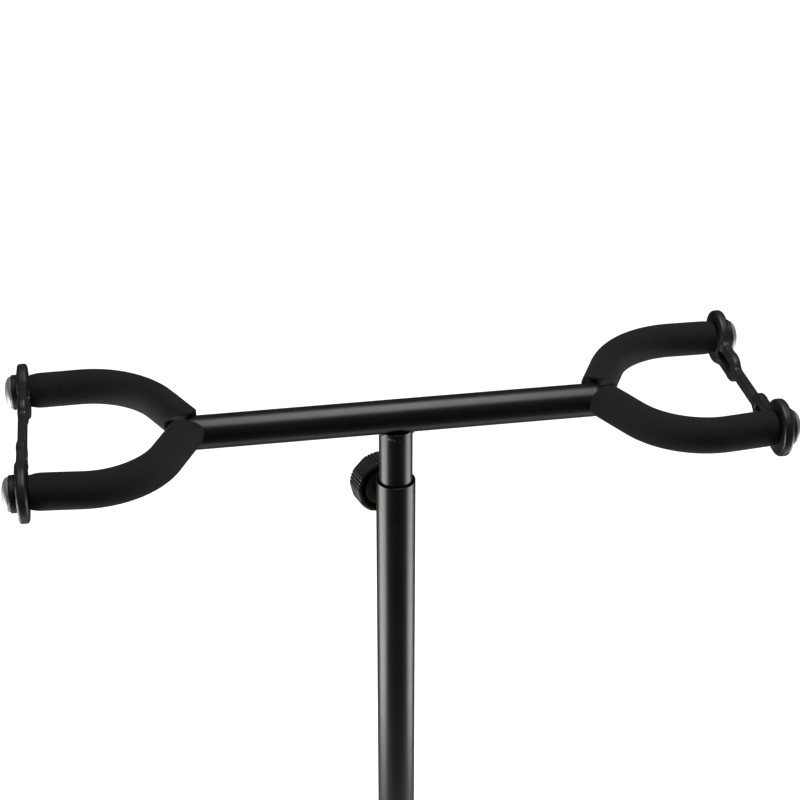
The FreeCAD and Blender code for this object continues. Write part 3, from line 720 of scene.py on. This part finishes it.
def sleevePart(line, length, startS, seed):
    # closed sleeve: rows run along the outside from the slanted cut to the squeezed end, and back in the bore
    rng = np.random.default_rng(seed)
    angle = np.linspace(0, 2 * math.pi, sleeve["around"], endpoint=False)[None, :]
    share = np.linspace(0, 1, sleeve["rows"])[:, None]
    startRow = startS(angle)
    s = startRow + (length - startRow) * share
    fromStart = (s - startRow) / sleeve["edge"]
    toEnd = (length - s) / sleeve["edge"]
    squeeze = np.exp(-((length - s) / sleeve["neckLength"]) ** 2)
    outer = sleeve["radius"] - (sleeve["radius"] - sleeve["neck"]) * squeeze
    lumps = 0 * s
    for k in range(9):
        turns, waves, phase = rng.integers(1, 5), rng.uniform(18, 120), rng.uniform(0, 2 * math.pi)
        lumps = lumps + rng.uniform(0.3, 1) * np.sin(turns * angle + waves * s + phase)
    outer = outer + lumps * sleeve["lump"]
    dropStart = 1 - np.sqrt(np.clip(1 - np.clip(1 - fromStart, 0, 1) ** 2, 0, 1))
    dropEnd = 1 - np.sqrt(np.clip(1 - np.clip(1 - toEnd, 0, 1) ** 2, 0, 1))
    outer = outer - (dropStart + dropEnd) * sleeve["edge"] * 0.9
    faceShare = np.linspace(1, 0, 8)[:, None]
    endRows = sleeve["bore"] + (outer[-1:] - sleeve["bore"]) * faceShare
    startRows = sleeve["bore"] + (outer[:1] - sleeve["bore"]) * faceShare[::-1]
    dish = sleeve["dish"] * np.sin(math.pi * faceShare)
    back = np.linspace(1, 0, 40)[:, None]
    boreS = startRow + (length - startRow) * back
    allS = np.concatenate([s, length - dish + 0 * angle, boreS, startRow + dish[::-1] + 0 * angle])
    allR = np.concatenate([outer, endRows, np.full_like(boreS, sleeve["bore"]), startRows])
    return carried(line, allS, allR, angle + 0 * allS)


def cutAt(angle, cut, postSign, base):
    # squared cosines blend the four given distances round the sleeve; they add up to one
    top, postSide, under, mouth = (c * mm for c in cut)
    level = np.cos(angle) * postSign
    rise = np.sin(angle)
    across = np.where(level > 0, postSide, mouth) * level ** 2
    updown = np.where(rise > 0, top, under) * rise ** 2
    return across + updown - base


def makeNeckSleeves():
    for side in (1, -1):
        for far in (1, -1):
            throat, elbow, stub, end = yokePoints(side, far, strapIn - 0.15 * mm)
            leg = (elbow - throat) / np.linalg.norm(elbow - throat)
            line = routeLine([throat + leg * mm, elbow, stub, end], [yoke["elbowBend"], yoke["stubBend"]])
            outward = np.cross(leg, zWay)
            postSign = 1 if outward[0] * side < 0 else -1
            cut = sleeveCuts[(side, far)]
            part = sleevePart(line, lineLength(line), lambda a: cutAt(a, cut, postSign, mm),
                              10 + 3 * side + far)
            word = "far" if far > 0 else "near"
            made = makePiece(sideName(word + "NeckFoam", side), part, foam, "head",
                             [sideName(word + "_neck_foam", side)], sharp=70)


makeRods()
makeNeckSleeves()
print("yokes made")

strap = {"round": 2.1 * mm, "webDrop": 0.3 * mm, "webHalf": 3.7 * mm, "thin": 0.4 * mm, "lugHalf": 9.2 * mm,
         "eye": 9.6 * mm, "eyeY": 28.0 * mm, "slotHalf": 3.0 * mm, "bore": 5.0 * mm, "fillet": 3.6 * mm,
         "cell": 0.55 * mm}


def strapField(p):
    # a ring, a rounded eye and a flat lug between them, joined to the middle strip; both halves by folding y
    half = (strapOut - strapIn) / 2
    centreX = (strapIn + strapOut) / 2
    webZ = barZ - strap["webDrop"]
    q = p.copy()
    q[:, 1] = np.abs(q[:, 1])
    thinHalf = half - strap["thin"]
    ring = discField(q, (centreX, prongY, prongZ), 0, ringRadius, half, strap["round"])
    eye = discField(q, (centreX, strap["eyeY"], webZ), 0, strap["eye"], thinHalf, strap["round"] * 0.9)
    lugMiddle = (strap["eyeY"] + prongY) / 2
    lugSpan = (prongY - strap["eyeY"]) / 2
    lug = blockField(q, (centreX, lugMiddle, webZ), (thinHalf, lugSpan, strap["lugHalf"]), 1.6 * mm)
    web = blockField(q, (centreX, 0, webZ), (thinHalf, strap["eyeY"], strap["webHalf"]), 1.2 * mm)
    body = blendFields(blendFields(ring, lug, strap["fillet"]), blendFields(eye, web, 1.6 * mm), 1.2 * mm)
    slotFrom = strap["eyeY"] + 1.0 * mm
    slotTo = prongY - ringRadius + 3.0 * mm
    flat = q.copy()
    flat[:, 0] = 0
    slot = rodField(flat, (0, slotFrom, webZ), (0, slotTo, webZ), strap["slotHalf"])
    hole = boreField(q, (centreX, prongY, prongZ), xWay, strap["bore"])
    return cutField(cutField(body, slot, 0.9 * mm), hole, 0.7 * mm)


def makeStraps():
    outY = prongY + ringRadius
    lowest = (strapIn, -outY, prongZ - ringRadius)
    highest = (strapOut, outY, prongZ + ringRadius)
    part = fieldSurface(strapField, lowest, highest, strap["cell"])
    # the left-hand strap is the same moulding the other way up: half a turn about the level line at the prongs
    turnedOver = part[0] * (-1, 1, -1) + (0, 0, 2 * prongZ), part[1]
    for side, shape in ((1, part), (-1, turnedOver)):
        makePiece(sideName("neckStrap", side), shape, strapRubber, "head",
                  [sideName("neck_strap", side)], sharp=75)


collar = {"round": 0.6 * mm, "bore": 4.9 * mm, "gap": 0.05 * mm}
dome = {"brim": 0.5 * mm, "shrink": 0.2 * mm, "edge": 0.4 * mm}


def makeProngEnds():
    # collars: rings with rounded edges; domes: a short brim, then radius and height as a quarter of an ellipse
    thick = high("prong_collars")[0] - strapOut
    radius = (high("prong_collars")[2] - low("prong_collars")[2]) / 2
    bore, gap, edge = collar["bore"], collar["gap"], collar["round"]
    outline = [(gap, bore), (gap, radius), (thick, radius), (thick, bore)]
    outline = roundedOutline(outline, [edge / 2, edge, edge, edge / 2])
    domeRadius = (high("dome_caps")[2] - low("dome_caps")[2]) / 2
    domeHeight = high("dome_caps")[0] - strapOut - thick
    t = np.linspace(0, math.pi / 2, 20)
    crown = np.stack([dome["brim"] + (domeHeight - dome["brim"]) * np.sin(t),
                      (domeRadius - dome["shrink"]) * np.cos(t)], -1)
    brim = np.array([(0.0, 0.0), (0.0, domeRadius - dome["edge"]), (dome["edge"] * 0.3, domeRadius),
                     (dome["brim"] * 0.7, domeRadius), (dome["brim"], domeRadius - dome["shrink"] * 0.6)])
    cap = np.concatenate([brim, crown]) + (thick + collar["gap"], 0)
    collars, domes = [], []
    for side in (1, -1):
        for far in (1, -1):
            base = (side * strapOut, far * prongY, prongZ)
            collars.append(turned(outline, base, xWay * side, 80))
            domes.append(turned(cap, base, xWay * side, 80, closed=False))
    makePiece("prongCollars", collars, collarRubber, "head", ["prong_collars"])
    makePiece("domeCaps", domes, satinSilver, "head", ["dome_caps"])


makeStraps()
makeProngEnds()
print("straps and prong ends made")

knob = {"radius": 20.0 * mm, "thick": 15.0 * mm, "flats": 6, "flatFrom": 46.5, "flatHalf": 15.2,
        "flatDepth": 0.7 * mm, "ribPitch": 7.4, "ribDepth": 0.75 * mm, "drum": 13.8 * mm,
        "ringIn": 17.4 * mm, "grooveDepth": 9.0 * mm, "around": 400}


def knobRim(angle, radius):
    # flats are chords of the rim; between them ribs are a squared raised cosine; nothing inside the ring
    degrees = np.degrees(angle)
    sector = 360 / knob["flats"]
    fromFlat = (degrees - knob["flatFrom"] + sector / 2) % sector - sector / 2
    chord = (knob["radius"] - knob["flatDepth"]) / np.cos(np.radians(fromFlat)) - knob["radius"]
    onArc = np.clip((np.abs(fromFlat) - knob["flatHalf"]) / 1.5, 0, 1)
    phase = (np.abs(fromFlat) - knob["flatHalf"]) / knob["ribPitch"] * 2 * math.pi
    ribs = -knob["ribDepth"] * (0.5 + 0.5 * np.cos(phase)) ** 2
    change = np.minimum(chord, 0) * (1 - onArc) + ribs * onArc
    return change * np.clip((radius - knob["ringIn"] - 0.6 * mm) / (1.2 * mm), 0, 1)


def knobPart(centre, way):
    # outline from the axis across the drum, down and up the ring groove, over the ribbed rim to the back
    k = knob
    thick, groove = k["thick"], k["grooveDepth"]
    corners = [(-0.001 * mm, 0), (0, k["drum"]), (groove, k["drum"]), (groove, k["ringIn"]), (0, k["ringIn"]),
               (0, k["radius"]), (thick, k["radius"]), (thick + 0.4 * mm, 13.5 * mm),
               (thick - 1.2 * mm, 12.6 * mm), (thick - 1.2 * mm, 9.2 * mm), (thick + 0.2 * mm, 8.4 * mm),
               (thick + 0.6 * mm, 0)]
    radii = np.array([0, 0.8, 0.9, 0.9, 0.6, 1.5, 1.8, 0.8, 0.6, 0.6, 0.8, 0]) * mm
    outline = roundedOutline(corners, radii, 7)
    steps = np.concatenate([np.linspace(a, b, 3, endpoint=False) for a, b in zip(outline[:-1], outline[1:])])
    outline = np.concatenate([steps, outline[-1:]])
    left = np.cross(zWay, way)
    angle = np.linspace(0, 2 * math.pi, k["around"], endpoint=False)[None, :]
    radius = outline[:, 1][:, None] + 0 * angle
    radius = radius + knobRim(angle, radius)
    spoke = left * np.cos(angle)[..., None] + zWay * np.sin(angle)[..., None]
    grid = np.asarray(centre) + np.asarray(way) * outline[:, 0][:, None, None] + spoke * radius[..., None]
    return sheetPart(grid, False, True)


def jointWay(name):
    axis = [np.array(j["axis"], float) for j in frame["joints"] if j["name"] == name][0]
    return axis / np.linalg.norm(axis)


def makeKnobs():
    for word in ("height", "cradle"):
        node = word + "_knob"                          # the node and its body share one name
        way = jointWay(node + "_turn")
        centre = middle(node) - way * knob["thick"] / 2
        makePiece(word + "Knob", knobPart(centre, way), plastic, node, [node], sharp=60)


makeKnobs()
print("knobs made")

cradle = {"y": 112.0 * mm, "armStart": 15.6 * mm, "armEnd": 78.0 * mm, "corner": 42.0 * mm, "tipX": 246.0 * mm,
          "tipRise": 40.0 * mm, "tipLean": 0.35, "tipBend": 24.0 * mm, "rod": 5.0 * mm, "arm": 8.0 * mm,
          "foamRadius": 11.0 * mm, "foamFrom": 124.0 * mm, "foamTo": 226.0 * mm, "cap": 8.0 * mm,
          "capLength": 22.0 * mm, "capPast": 3.0 * mm, "hubRadius": 18.0 * mm, "hubHalf": 22.0 * mm,
          "socketWall": 4.0 * mm, "socketHalf": 30.0 * mm, "bossRadius": 10.0 * mm, "bossHalf": 12.0 * mm,
          "screwHole": 4.4 * mm}
cradle["z"] = low("cradle_rod_right")[2] + cradle["rod"]


def cradleLine(side):
    c = cradle
    tip = c["tipX"] + c["tipRise"] * c["tipLean"]
    half = [(tip, c["y"], c["z"] + c["tipRise"]), (c["tipX"], c["y"], c["z"]), (c["armEnd"], c["y"], c["z"])]
    points = half + [(x, -y, z) for x, y, z in half[::-1]]
    bends = [c["tipBend"], c["corner"], c["corner"], c["tipBend"]]
    return routeLine([np.array(p) * (side, 1, 1) for p in points], bends)


def hubField(p):
    # round clamp body with a cross socket for the arms and a boss for the screw, all softly joined
    c = cradle
    centre = np.array([0, 0, c["z"]])
    body = discField(p, centre, 2, c["hubRadius"], c["hubHalf"], 2.2 * mm)
    socket = discField(p, centre, 0, c["arm"] + c["socketWall"], c["socketHalf"], 1.5 * mm)
    boss = discField(p, centre - (0, c["bossHalf"], 0), 1, c["bossRadius"], c["bossHalf"], 1.2 * mm)
    body = blendFields(blendFields(body, socket, 3 * mm), boss, 2.5 * mm)
    body = cutField(body, boreField(p, centre, zWay, postRadius + 0.1 * mm), 0.5 * mm)
    hole = rodField(p, centre - (0, 60 * mm, 0), centre - (0, 16 * mm, 0), c["screwHole"])
    return cutField(body, hole, 0.4 * mm)


def makeCradle():
    c = cradle
    lowest = (-c["socketHalf"], -2 * c["bossHalf"], c["z"] - c["hubHalf"])
    highest = (c["socketHalf"], c["hubRadius"], c["z"] + c["hubHalf"])
    part = fieldSurface(hubField, lowest, highest, 0.8 * mm)
    makePiece("cradleHub", part, plastic, "cradle", ["cradle_hub"], sharp=80)
    caps = []
    for side in (1, -1):
        line = cradleLine(side)
        makePiece(sideName("cradleRod", side), roundBar(line, c["rod"], 260), barCoat, "cradle",
                  [sideName("cradle_rod", side)])
        start, stop = side * c["armStart"], side * (c["armEnd"] - 1 * mm)
        arm = np.linspace((start, 0, c["z"]), (stop, 0, c["z"]), 30)
        makePiece(sideName("cradleArm", side), roundBar(arm, c["arm"], 20), barCoat, "cradle",
                  [sideName("cradle_arm", side)])
        for far in (1, -1):
            ends = [np.array([side * x, far * c["y"], c["z"]]) for x in (c["foamFrom"], c["foamTo"])]
            foamLine = np.linspace(ends[0], ends[1], 80)
            part = sleevePart(foamLine, lineLength(foamLine), lambda a: 0 * a, 30 + 3 * side + far)
            points = part[0].copy()
            squeeze = c["foamRadius"] / sleeve["radius"]
            points[:, 1:] = (points[:, 1:] - ends[0][1:]) * squeeze + ends[0][1:]
            word = "far" if far > 0 else "near"
            made = makePiece(sideName(word + "BodyFoam", side), (points, part[1]), foam, "cradle",
                             [sideName(word + "_body_foam", side)], sharp=70)
            top = line[0] if far > 0 else line[-1]
            inside = line[6] if far > 0 else line[-7]
            down = (inside - top) / np.linalg.norm(inside - top)
            bore = c["rod"] - 0.2 * mm
            mouth = c["capLength"] - c["capPast"]
            outline = [(-c["capPast"], 0), (-c["capPast"], c["cap"]), (mouth, c["cap"]), (mouth, bore),
                       (0, bore), (0, 0)]
            outline = roundedOutline(outline, [0, 2.6 * mm, 1.0 * mm, 0.4 * mm, 0.4 * mm, 0])
            caps.append(turned(outline, top, down, 64, closed=False))
    makePiece("cradleTipCaps", caps, footRubber, "cradle", ["cradle_tip_caps"])


makeCradle()
print("cradle made")

tripod = {"angles": {"rear": 90.0, "front_left": 210.0, "front_right": 330.0}, "pivotOut": 38.0 * mm,
          "pivotZ": middle("leg_pins")[2], "footReach": 290.0 * mm, "leg": 8.0 * mm, "hubRadius": 27.0 * mm,
          "earWidth": 28.0 * mm, "earReach": 47.0 * mm, "earBelow": 12.0 * mm, "earAbove": 18.0 * mm,
          "earCorner": 9.0 * mm,
          "slotWidth": 12.2 * mm, "slotBack": 9.6 * mm, "tongueWidth": 11.6 * mm, "shankHalf": 10.0 * mm,
          "spigotMiddle": 34.0 * mm, "spigotHalf": 15.0 * mm, "pinRadius": 3.0 * mm, "pinHead": 5.5 * mm,
          "headHeight": 2.4 * mm, "pinPast": 3.2 * mm}
foot = {"radius": 11.0 * mm, "length": 34.0 * mm, "past": 4.0 * mm, "padRadius": 14.0 * mm, "padHalf": 6.0 * mm,
        "padIn": 6.0 * mm, "padZ": 3.0 * mm, "treadFrom": 24.0 * mm, "treadLength": 16.0 * mm,
        "treadPitch": 4.0 * mm, "treadDepth": 0.35 * mm}
plug = {"lip": 1.0 * mm, "foot": 5.0 * mm, "length": 20.0 * mm}

legPivot = np.array([tripod["pivotOut"], 0, tripod["pivotZ"]])
legSpan = np.array([tripod["footReach"] - tripod["pivotOut"], 0, foot["radius"] - tripod["pivotZ"]])
legLength = float(np.linalg.norm(legSpan))
legWay = legSpan / legLength


def tripodHubField(p):
    # drum with three pairs of ears; each slot is open below, with a straight back wall and a roof that lies
    # along the opened leg and stops it
    t = tripod
    hubLow, hubHigh = low("leg_hub")[2], high("leg_hub")[2]
    centre = np.array([0, 0, (hubLow + hubHigh) / 2])
    body = discField(p, centre, 2, t["hubRadius"], (hubHigh - hubLow) / 2, 2.6 * mm)
    earHalf = (t["earBelow"] + t["earAbove"]) / 2
    earZ = t["pivotZ"] + t["earAbove"] - earHalf
    corner = t["earCorner"]
    slots = []
    for degrees in t["angles"].values():
        c, s = math.cos(math.radians(degrees)), math.sin(math.radians(degrees))
        q = p @ np.array([[c, -s, 0], [s, c, 0], [0, 0, 1]])
        earHalves = (t["earReach"] / 2, t["earWidth"] / 2, earHalf)
        ear = blockField(q, (t["earReach"] / 2, 0, earZ), earHalves, 2.0 * mm)
        pastX = np.maximum(q[:, 0] - (t["earReach"] - corner), 0)
        pastZ = np.maximum(np.abs(q[:, 2] - earZ) - (earHalf - corner), 0)
        body = blendFields(body, np.maximum(ear, np.hypot(pastX, pastZ) - corner), 2.0 * mm)
        roof = (q - legPivot) @ np.array([-legWay[2], 0, legWay[0]]) - (t["leg"] + 0.05 * mm)
        back = (t["pivotOut"] - t["slotBack"]) - q[:, 0]
        slots.append(np.maximum(np.maximum(np.abs(q[:, 1]) - t["slotWidth"] / 2, roof), back))
    for slot in slots:
        body = cutField(body, slot, 0.6 * mm)
    return cutField(body, boreField(p, centre, zWay, postRadius + 0.05 * mm), 0.4 * mm)


def footField(p):
    # boot over the tube's end on a round pad with a flat underside and a shallow tread ring
    f = foot
    end = legPivot + legWay * legLength
    along = (p - end) @ legWay
    offset = np.linalg.norm(p - end - along[:, None] * legWay, axis=1)
    middleAlong = along - (f["past"] - f["length"] / 2)
    out = offset - (f["radius"] - 2 * mm)
    over = np.abs(middleAlong) - (f["length"] / 2 - 2 * mm)
    boot = np.hypot(np.maximum(out, 0), np.maximum(over, 0)) + np.minimum(np.maximum(out, over), 0) - 2 * mm
    fromTread = along + f["treadFrom"]
    turns = np.clip(fromTread, 0, f["treadLength"]) / f["treadPitch"]
    rings = f["treadDepth"] * (1 - np.cos(2 * math.pi * turns))
    boot = boot + np.where((fromTread > 0) & (fromTread < f["treadLength"]), rings, 0) * 0.8
    padCentre = np.array([tripod["footReach"] - f["padIn"], 0, f["padZ"]])
    pad = discField(p, padCentre, 2, f["padRadius"], f["padHalf"], 1.4 * mm)
    body = blendFields(boot, pad, 2.5 * mm)
    body = np.maximum(body, -p[:, 2])
    bore = np.maximum(offset - (tripod["leg"] - 0.1 * mm), along)
    return cutField(body, bore, 0.4 * mm)


def eyeField(p):
    # flat eye round the pin, running into a flat shank and a round spigot in the tube
    t = tripod
    half = t["tongueWidth"] / 2
    q = p - legPivot
    along = q @ legWay
    rise = q @ np.array([-legWay[2], 0, legWay[0]])
    flat = np.stack([along, q[:, 1], rise], -1)
    disc = discField(flat, np.zeros(3), 1, t["leg"] - 0.1 * mm, half, 0.8 * mm)
    shankHalves = (t["shankHalf"], half, t["leg"] - 0.1 * mm)
    shank = blockField(flat, (t["shankHalf"], 0, 0), shankHalves, 0.8 * mm)
    spigot = np.maximum(np.hypot(flat[:, 1], flat[:, 2]) - (t["leg"] - wall),
                        np.abs(flat[:, 0] - t["spigotMiddle"]) - t["spigotHalf"])
    body = np.minimum(np.minimum(disc, shank), spigot)
    return cutField(body, boreField(p, legPivot, yWay, t["pinRadius"] + 0.05 * mm), 0.4 * mm)


def pinPart(turn):
    # shank, domed head on one side and a six-sided nut on the other
    t = tripod
    half, shank, wide = t["earWidth"] / 2, t["pinRadius"], t["pinHead"]
    top, tail = half + t["headHeight"], half + t["pinPast"]
    head = roundedOutline([(-top, 0), (-top, wide * 0.8), (-half, wide), (-half, shank), (half, shank),
                           (tail, shank), (tail, 0)], [0, 1.2 * mm, 0.2 * mm, 0, 0, 0.5 * mm, 0])
    nut = roundedOutline([(half, 0), (half, wide), (top, wide), (top, 0)], [0, 0.3 * mm, 0.3 * mm, 0], 4)

    def sixSides(angle, radius):
        flat = (np.degrees(angle) + 30) % 60 - 30
        return radius * (0.9 / np.cos(np.radians(flat)) - 1) * 0.96

    return [turnedPart(turned(head, legPivot, yWay, 48, closed=False), turn),
            turnedPart(turned(nut, legPivot, yWay, 96, rim=sixSides, closed=False), turn)]


def makeTripod():
    t = tripod
    reach = t["earReach"] + 2 * mm
    hubLow, hubHigh = low("leg_hub")[2], high("leg_hub")[2]
    part = fieldSurface(tripodHubField, (-reach, -reach, hubLow), (reach, reach, hubHigh), 1.0 * mm)
    makePiece("legHub", part, plastic, "base", ["leg_hub"], sharp=70)
    end = legPivot + legWay * legLength
    footRoom = np.array([(-36, -16, -14), (18, 16, 28)]) * mm + end
    footPart = fieldSurface(footField, footRoom[0], footRoom[1], 0.8 * mm)
    eyeRoom = np.array([(-9, -7, -30), (52, 7, 10)]) * mm + legPivot
    eyePart = fieldSurface(eyeField, eyeRoom[0], eyeRoom[1], 0.8 * mm)
    outline = tubeOutline(20 * mm, legLength - 1 * mm, t["leg"], wall, 0.4 * mm)
    tube = turned(outline, legPivot, legWay, 80)
    pins = []
    for name, degrees in t["angles"].items():
        made = name.title().replace("_", "")
        made = made[0].lower() + made[1:]
        body = name + "_leg"
        makePiece(made + "Leg", turnedPart(tube, degrees), postCoat, body, [body])
        makePiece(made + "LegEye", turnedPart(eyePart, degrees), pressedSteel, body,
                  [name + "_leg_eye"])
        makePiece(made + "Foot", turnedPart(footPart, degrees), footRubber, body,
                  [name + "_foot"], sharp=70)
        pins += pinPart(degrees)
    makePiece("legPins", pins, zincPlate, "base", ["leg_pins"])
    under, lip, inside = low("post_cap")[2], postRadius + plug["lip"], postRadius - wall
    ledge, top = under + plug["foot"], under + plug["length"]
    outline = [(under, 0), (under, lip), (ledge, lip), (ledge, inside), (top, inside), (top, 0)]
    outline = roundedOutline(outline, [0, 1.2 * mm, 0.6 * mm, 0.3 * mm, 1.0 * mm, 0])
    makePiece("postCap", turned(outline, (0, 0, 0), zWay, 80, closed=False), footRubber, "base",
              ["post_cap"])


makeTripod()
print("tripod made")

# small inner pieces keep their own meshes and only take a finish
keptFinishes = {"height_nut": postCoat, "tube_glide": plastic, "yoke_weld_left": weldCoat,
                "yoke_weld_right": weldCoat, "cradle_welds": weldCoat, "height_screw": zincPlate,
                "cradle_screw": zincPlate, "hub_screws": zincPlate, "height_pad": turnedBrass,
                "cradle_pad": turnedBrass, "cradle_nut": turnedBrass}
for nodeName, finish in keptFinishes.items():
    keptNode = frame["nodes"][nodeName]
    keptNode.data.materials.clear()
    keptNode.data.materials.append(finish)

studio = {"floorHalf": 60.0, "seen": (0.9, 0.9, 0.9), "mirrored": (0.18, 0.18, 0.176), "lift": 1.0,
          "world": (0.062, 0.062, 0.063), "tint": (1.0, 0.975, 0.93)}
lights = {
    "leftPanel": {"place": (-0.62, 0.035, 0.29), "turn": (90, 0, -90), "size": (0.54, 0.56), "power": 6.9},
    "rightPanel": {"place": (0.62, -0.1, 0.29), "turn": (90, 0, 90), "size": (0.47, 0.56), "power": 4.5},
    "topPanel": {"place": (0.17, 0.0, 1.95), "turn": (0, 0, 0), "size": (0.6, 1.15), "power": 11.5},
    "lowPanel": {"place": (0.0, -0.2, 0.02), "turn": (180, 0, 0), "size": (1.2, 0.4), "power": 1.0},
}


def makeFloor():
    span = np.linspace(-studio["floorHalf"], studio["floorHalf"], 25)
    grid = np.stack(np.meshgrid(span, span, [0.0], indexing="ij"), -1)[:, :, 0]
    points, faces = sheetPart(grid, False, False)
    mesh = bpy.data.meshes.new("paleFloor")
    mesh.from_pydata(points.tolist(), [], faces.tolist())
    material = bpy.data.materials.new("paleFloor")
    material.use_nodes = True
    tree = material.node_tree
    shader = tree.nodes["Principled BSDF"]
    shader.inputs["Roughness"].default_value = 0.9
    shader.inputs["Specular IOR Level"].default_value = 0.0
    seen = tree.nodes.new("ShaderNodeLightPath").outputs["Is Camera Ray"]
    place = tree.nodes.new("ShaderNodeTexCoord").outputs["Object"]
    cloud = ramped(tree, noise(tree, place, 1.5, 3.0, 0.5), 0.3, 0.7, 0.0, 0.03)
    colour = mixed(tree, seen, studio["mirrored"], studio["seen"])
    tree.links.new(mixed(tree, cloud, colour, (0.8, 0.8, 0.79)), shader.inputs["Base Color"])
    shader.inputs["Emission Color"].default_value = (1.0, 1.0, 1.0, 1.0)
    tree.links.new(math2(tree, "MULTIPLY", seen, studio["lift"]), shader.inputs["Emission Strength"])
    mesh.materials.append(material)
    floor = bpy.data.objects.new("paleFloor", mesh)
    bpy.context.scene.collection.objects.link(floor)


def makeLights():
    for name, values in lights.items():
        data = bpy.data.lights.new(name, "AREA")
        data.shape = "RECTANGLE"
        data.size, data.size_y = values["size"]
        data.energy = values["power"]
        lamp = bpy.data.objects.new(name, data)
        bpy.context.scene.collection.objects.link(lamp)
        data.color = studio["tint"]
        lamp.location = values["place"]
        lamp.rotation_euler = [math.radians(degrees) for degrees in values["turn"]]
        lamp.visible_camera = False
    world = bpy.data.worlds.new("dimRoom")
    world.use_nodes = True
    world.node_tree.nodes["Background"].inputs["Color"].default_value = (*studio["world"], 1.0)
    bpy.context.scene.world = world
    bpy.context.scene.view_settings.view_transform = "Standard"


view = {"lens": 83.86, "place": (-0.17127, -1.03516), "aboveBar": 0.59985, "tilt": 60.735, "turn": -9.547}


def makeCamera():
    data = bpy.data.cameras.new("viewpoint")
    data.lens = view["lens"]
    data.sensor_width = 36.0
    made = bpy.data.objects.new("viewpoint", data)
    bpy.context.scene.collection.objects.link(made)
    made.location = (*view["place"], barZ + view["aboveBar"])
    made.rotation_euler = (math.radians(view["tilt"]), 0, math.radians(view["turn"]))
    bpy.context.scene.camera = made


makeFloor()
makeLights()
makeCamera()
print("studio made")
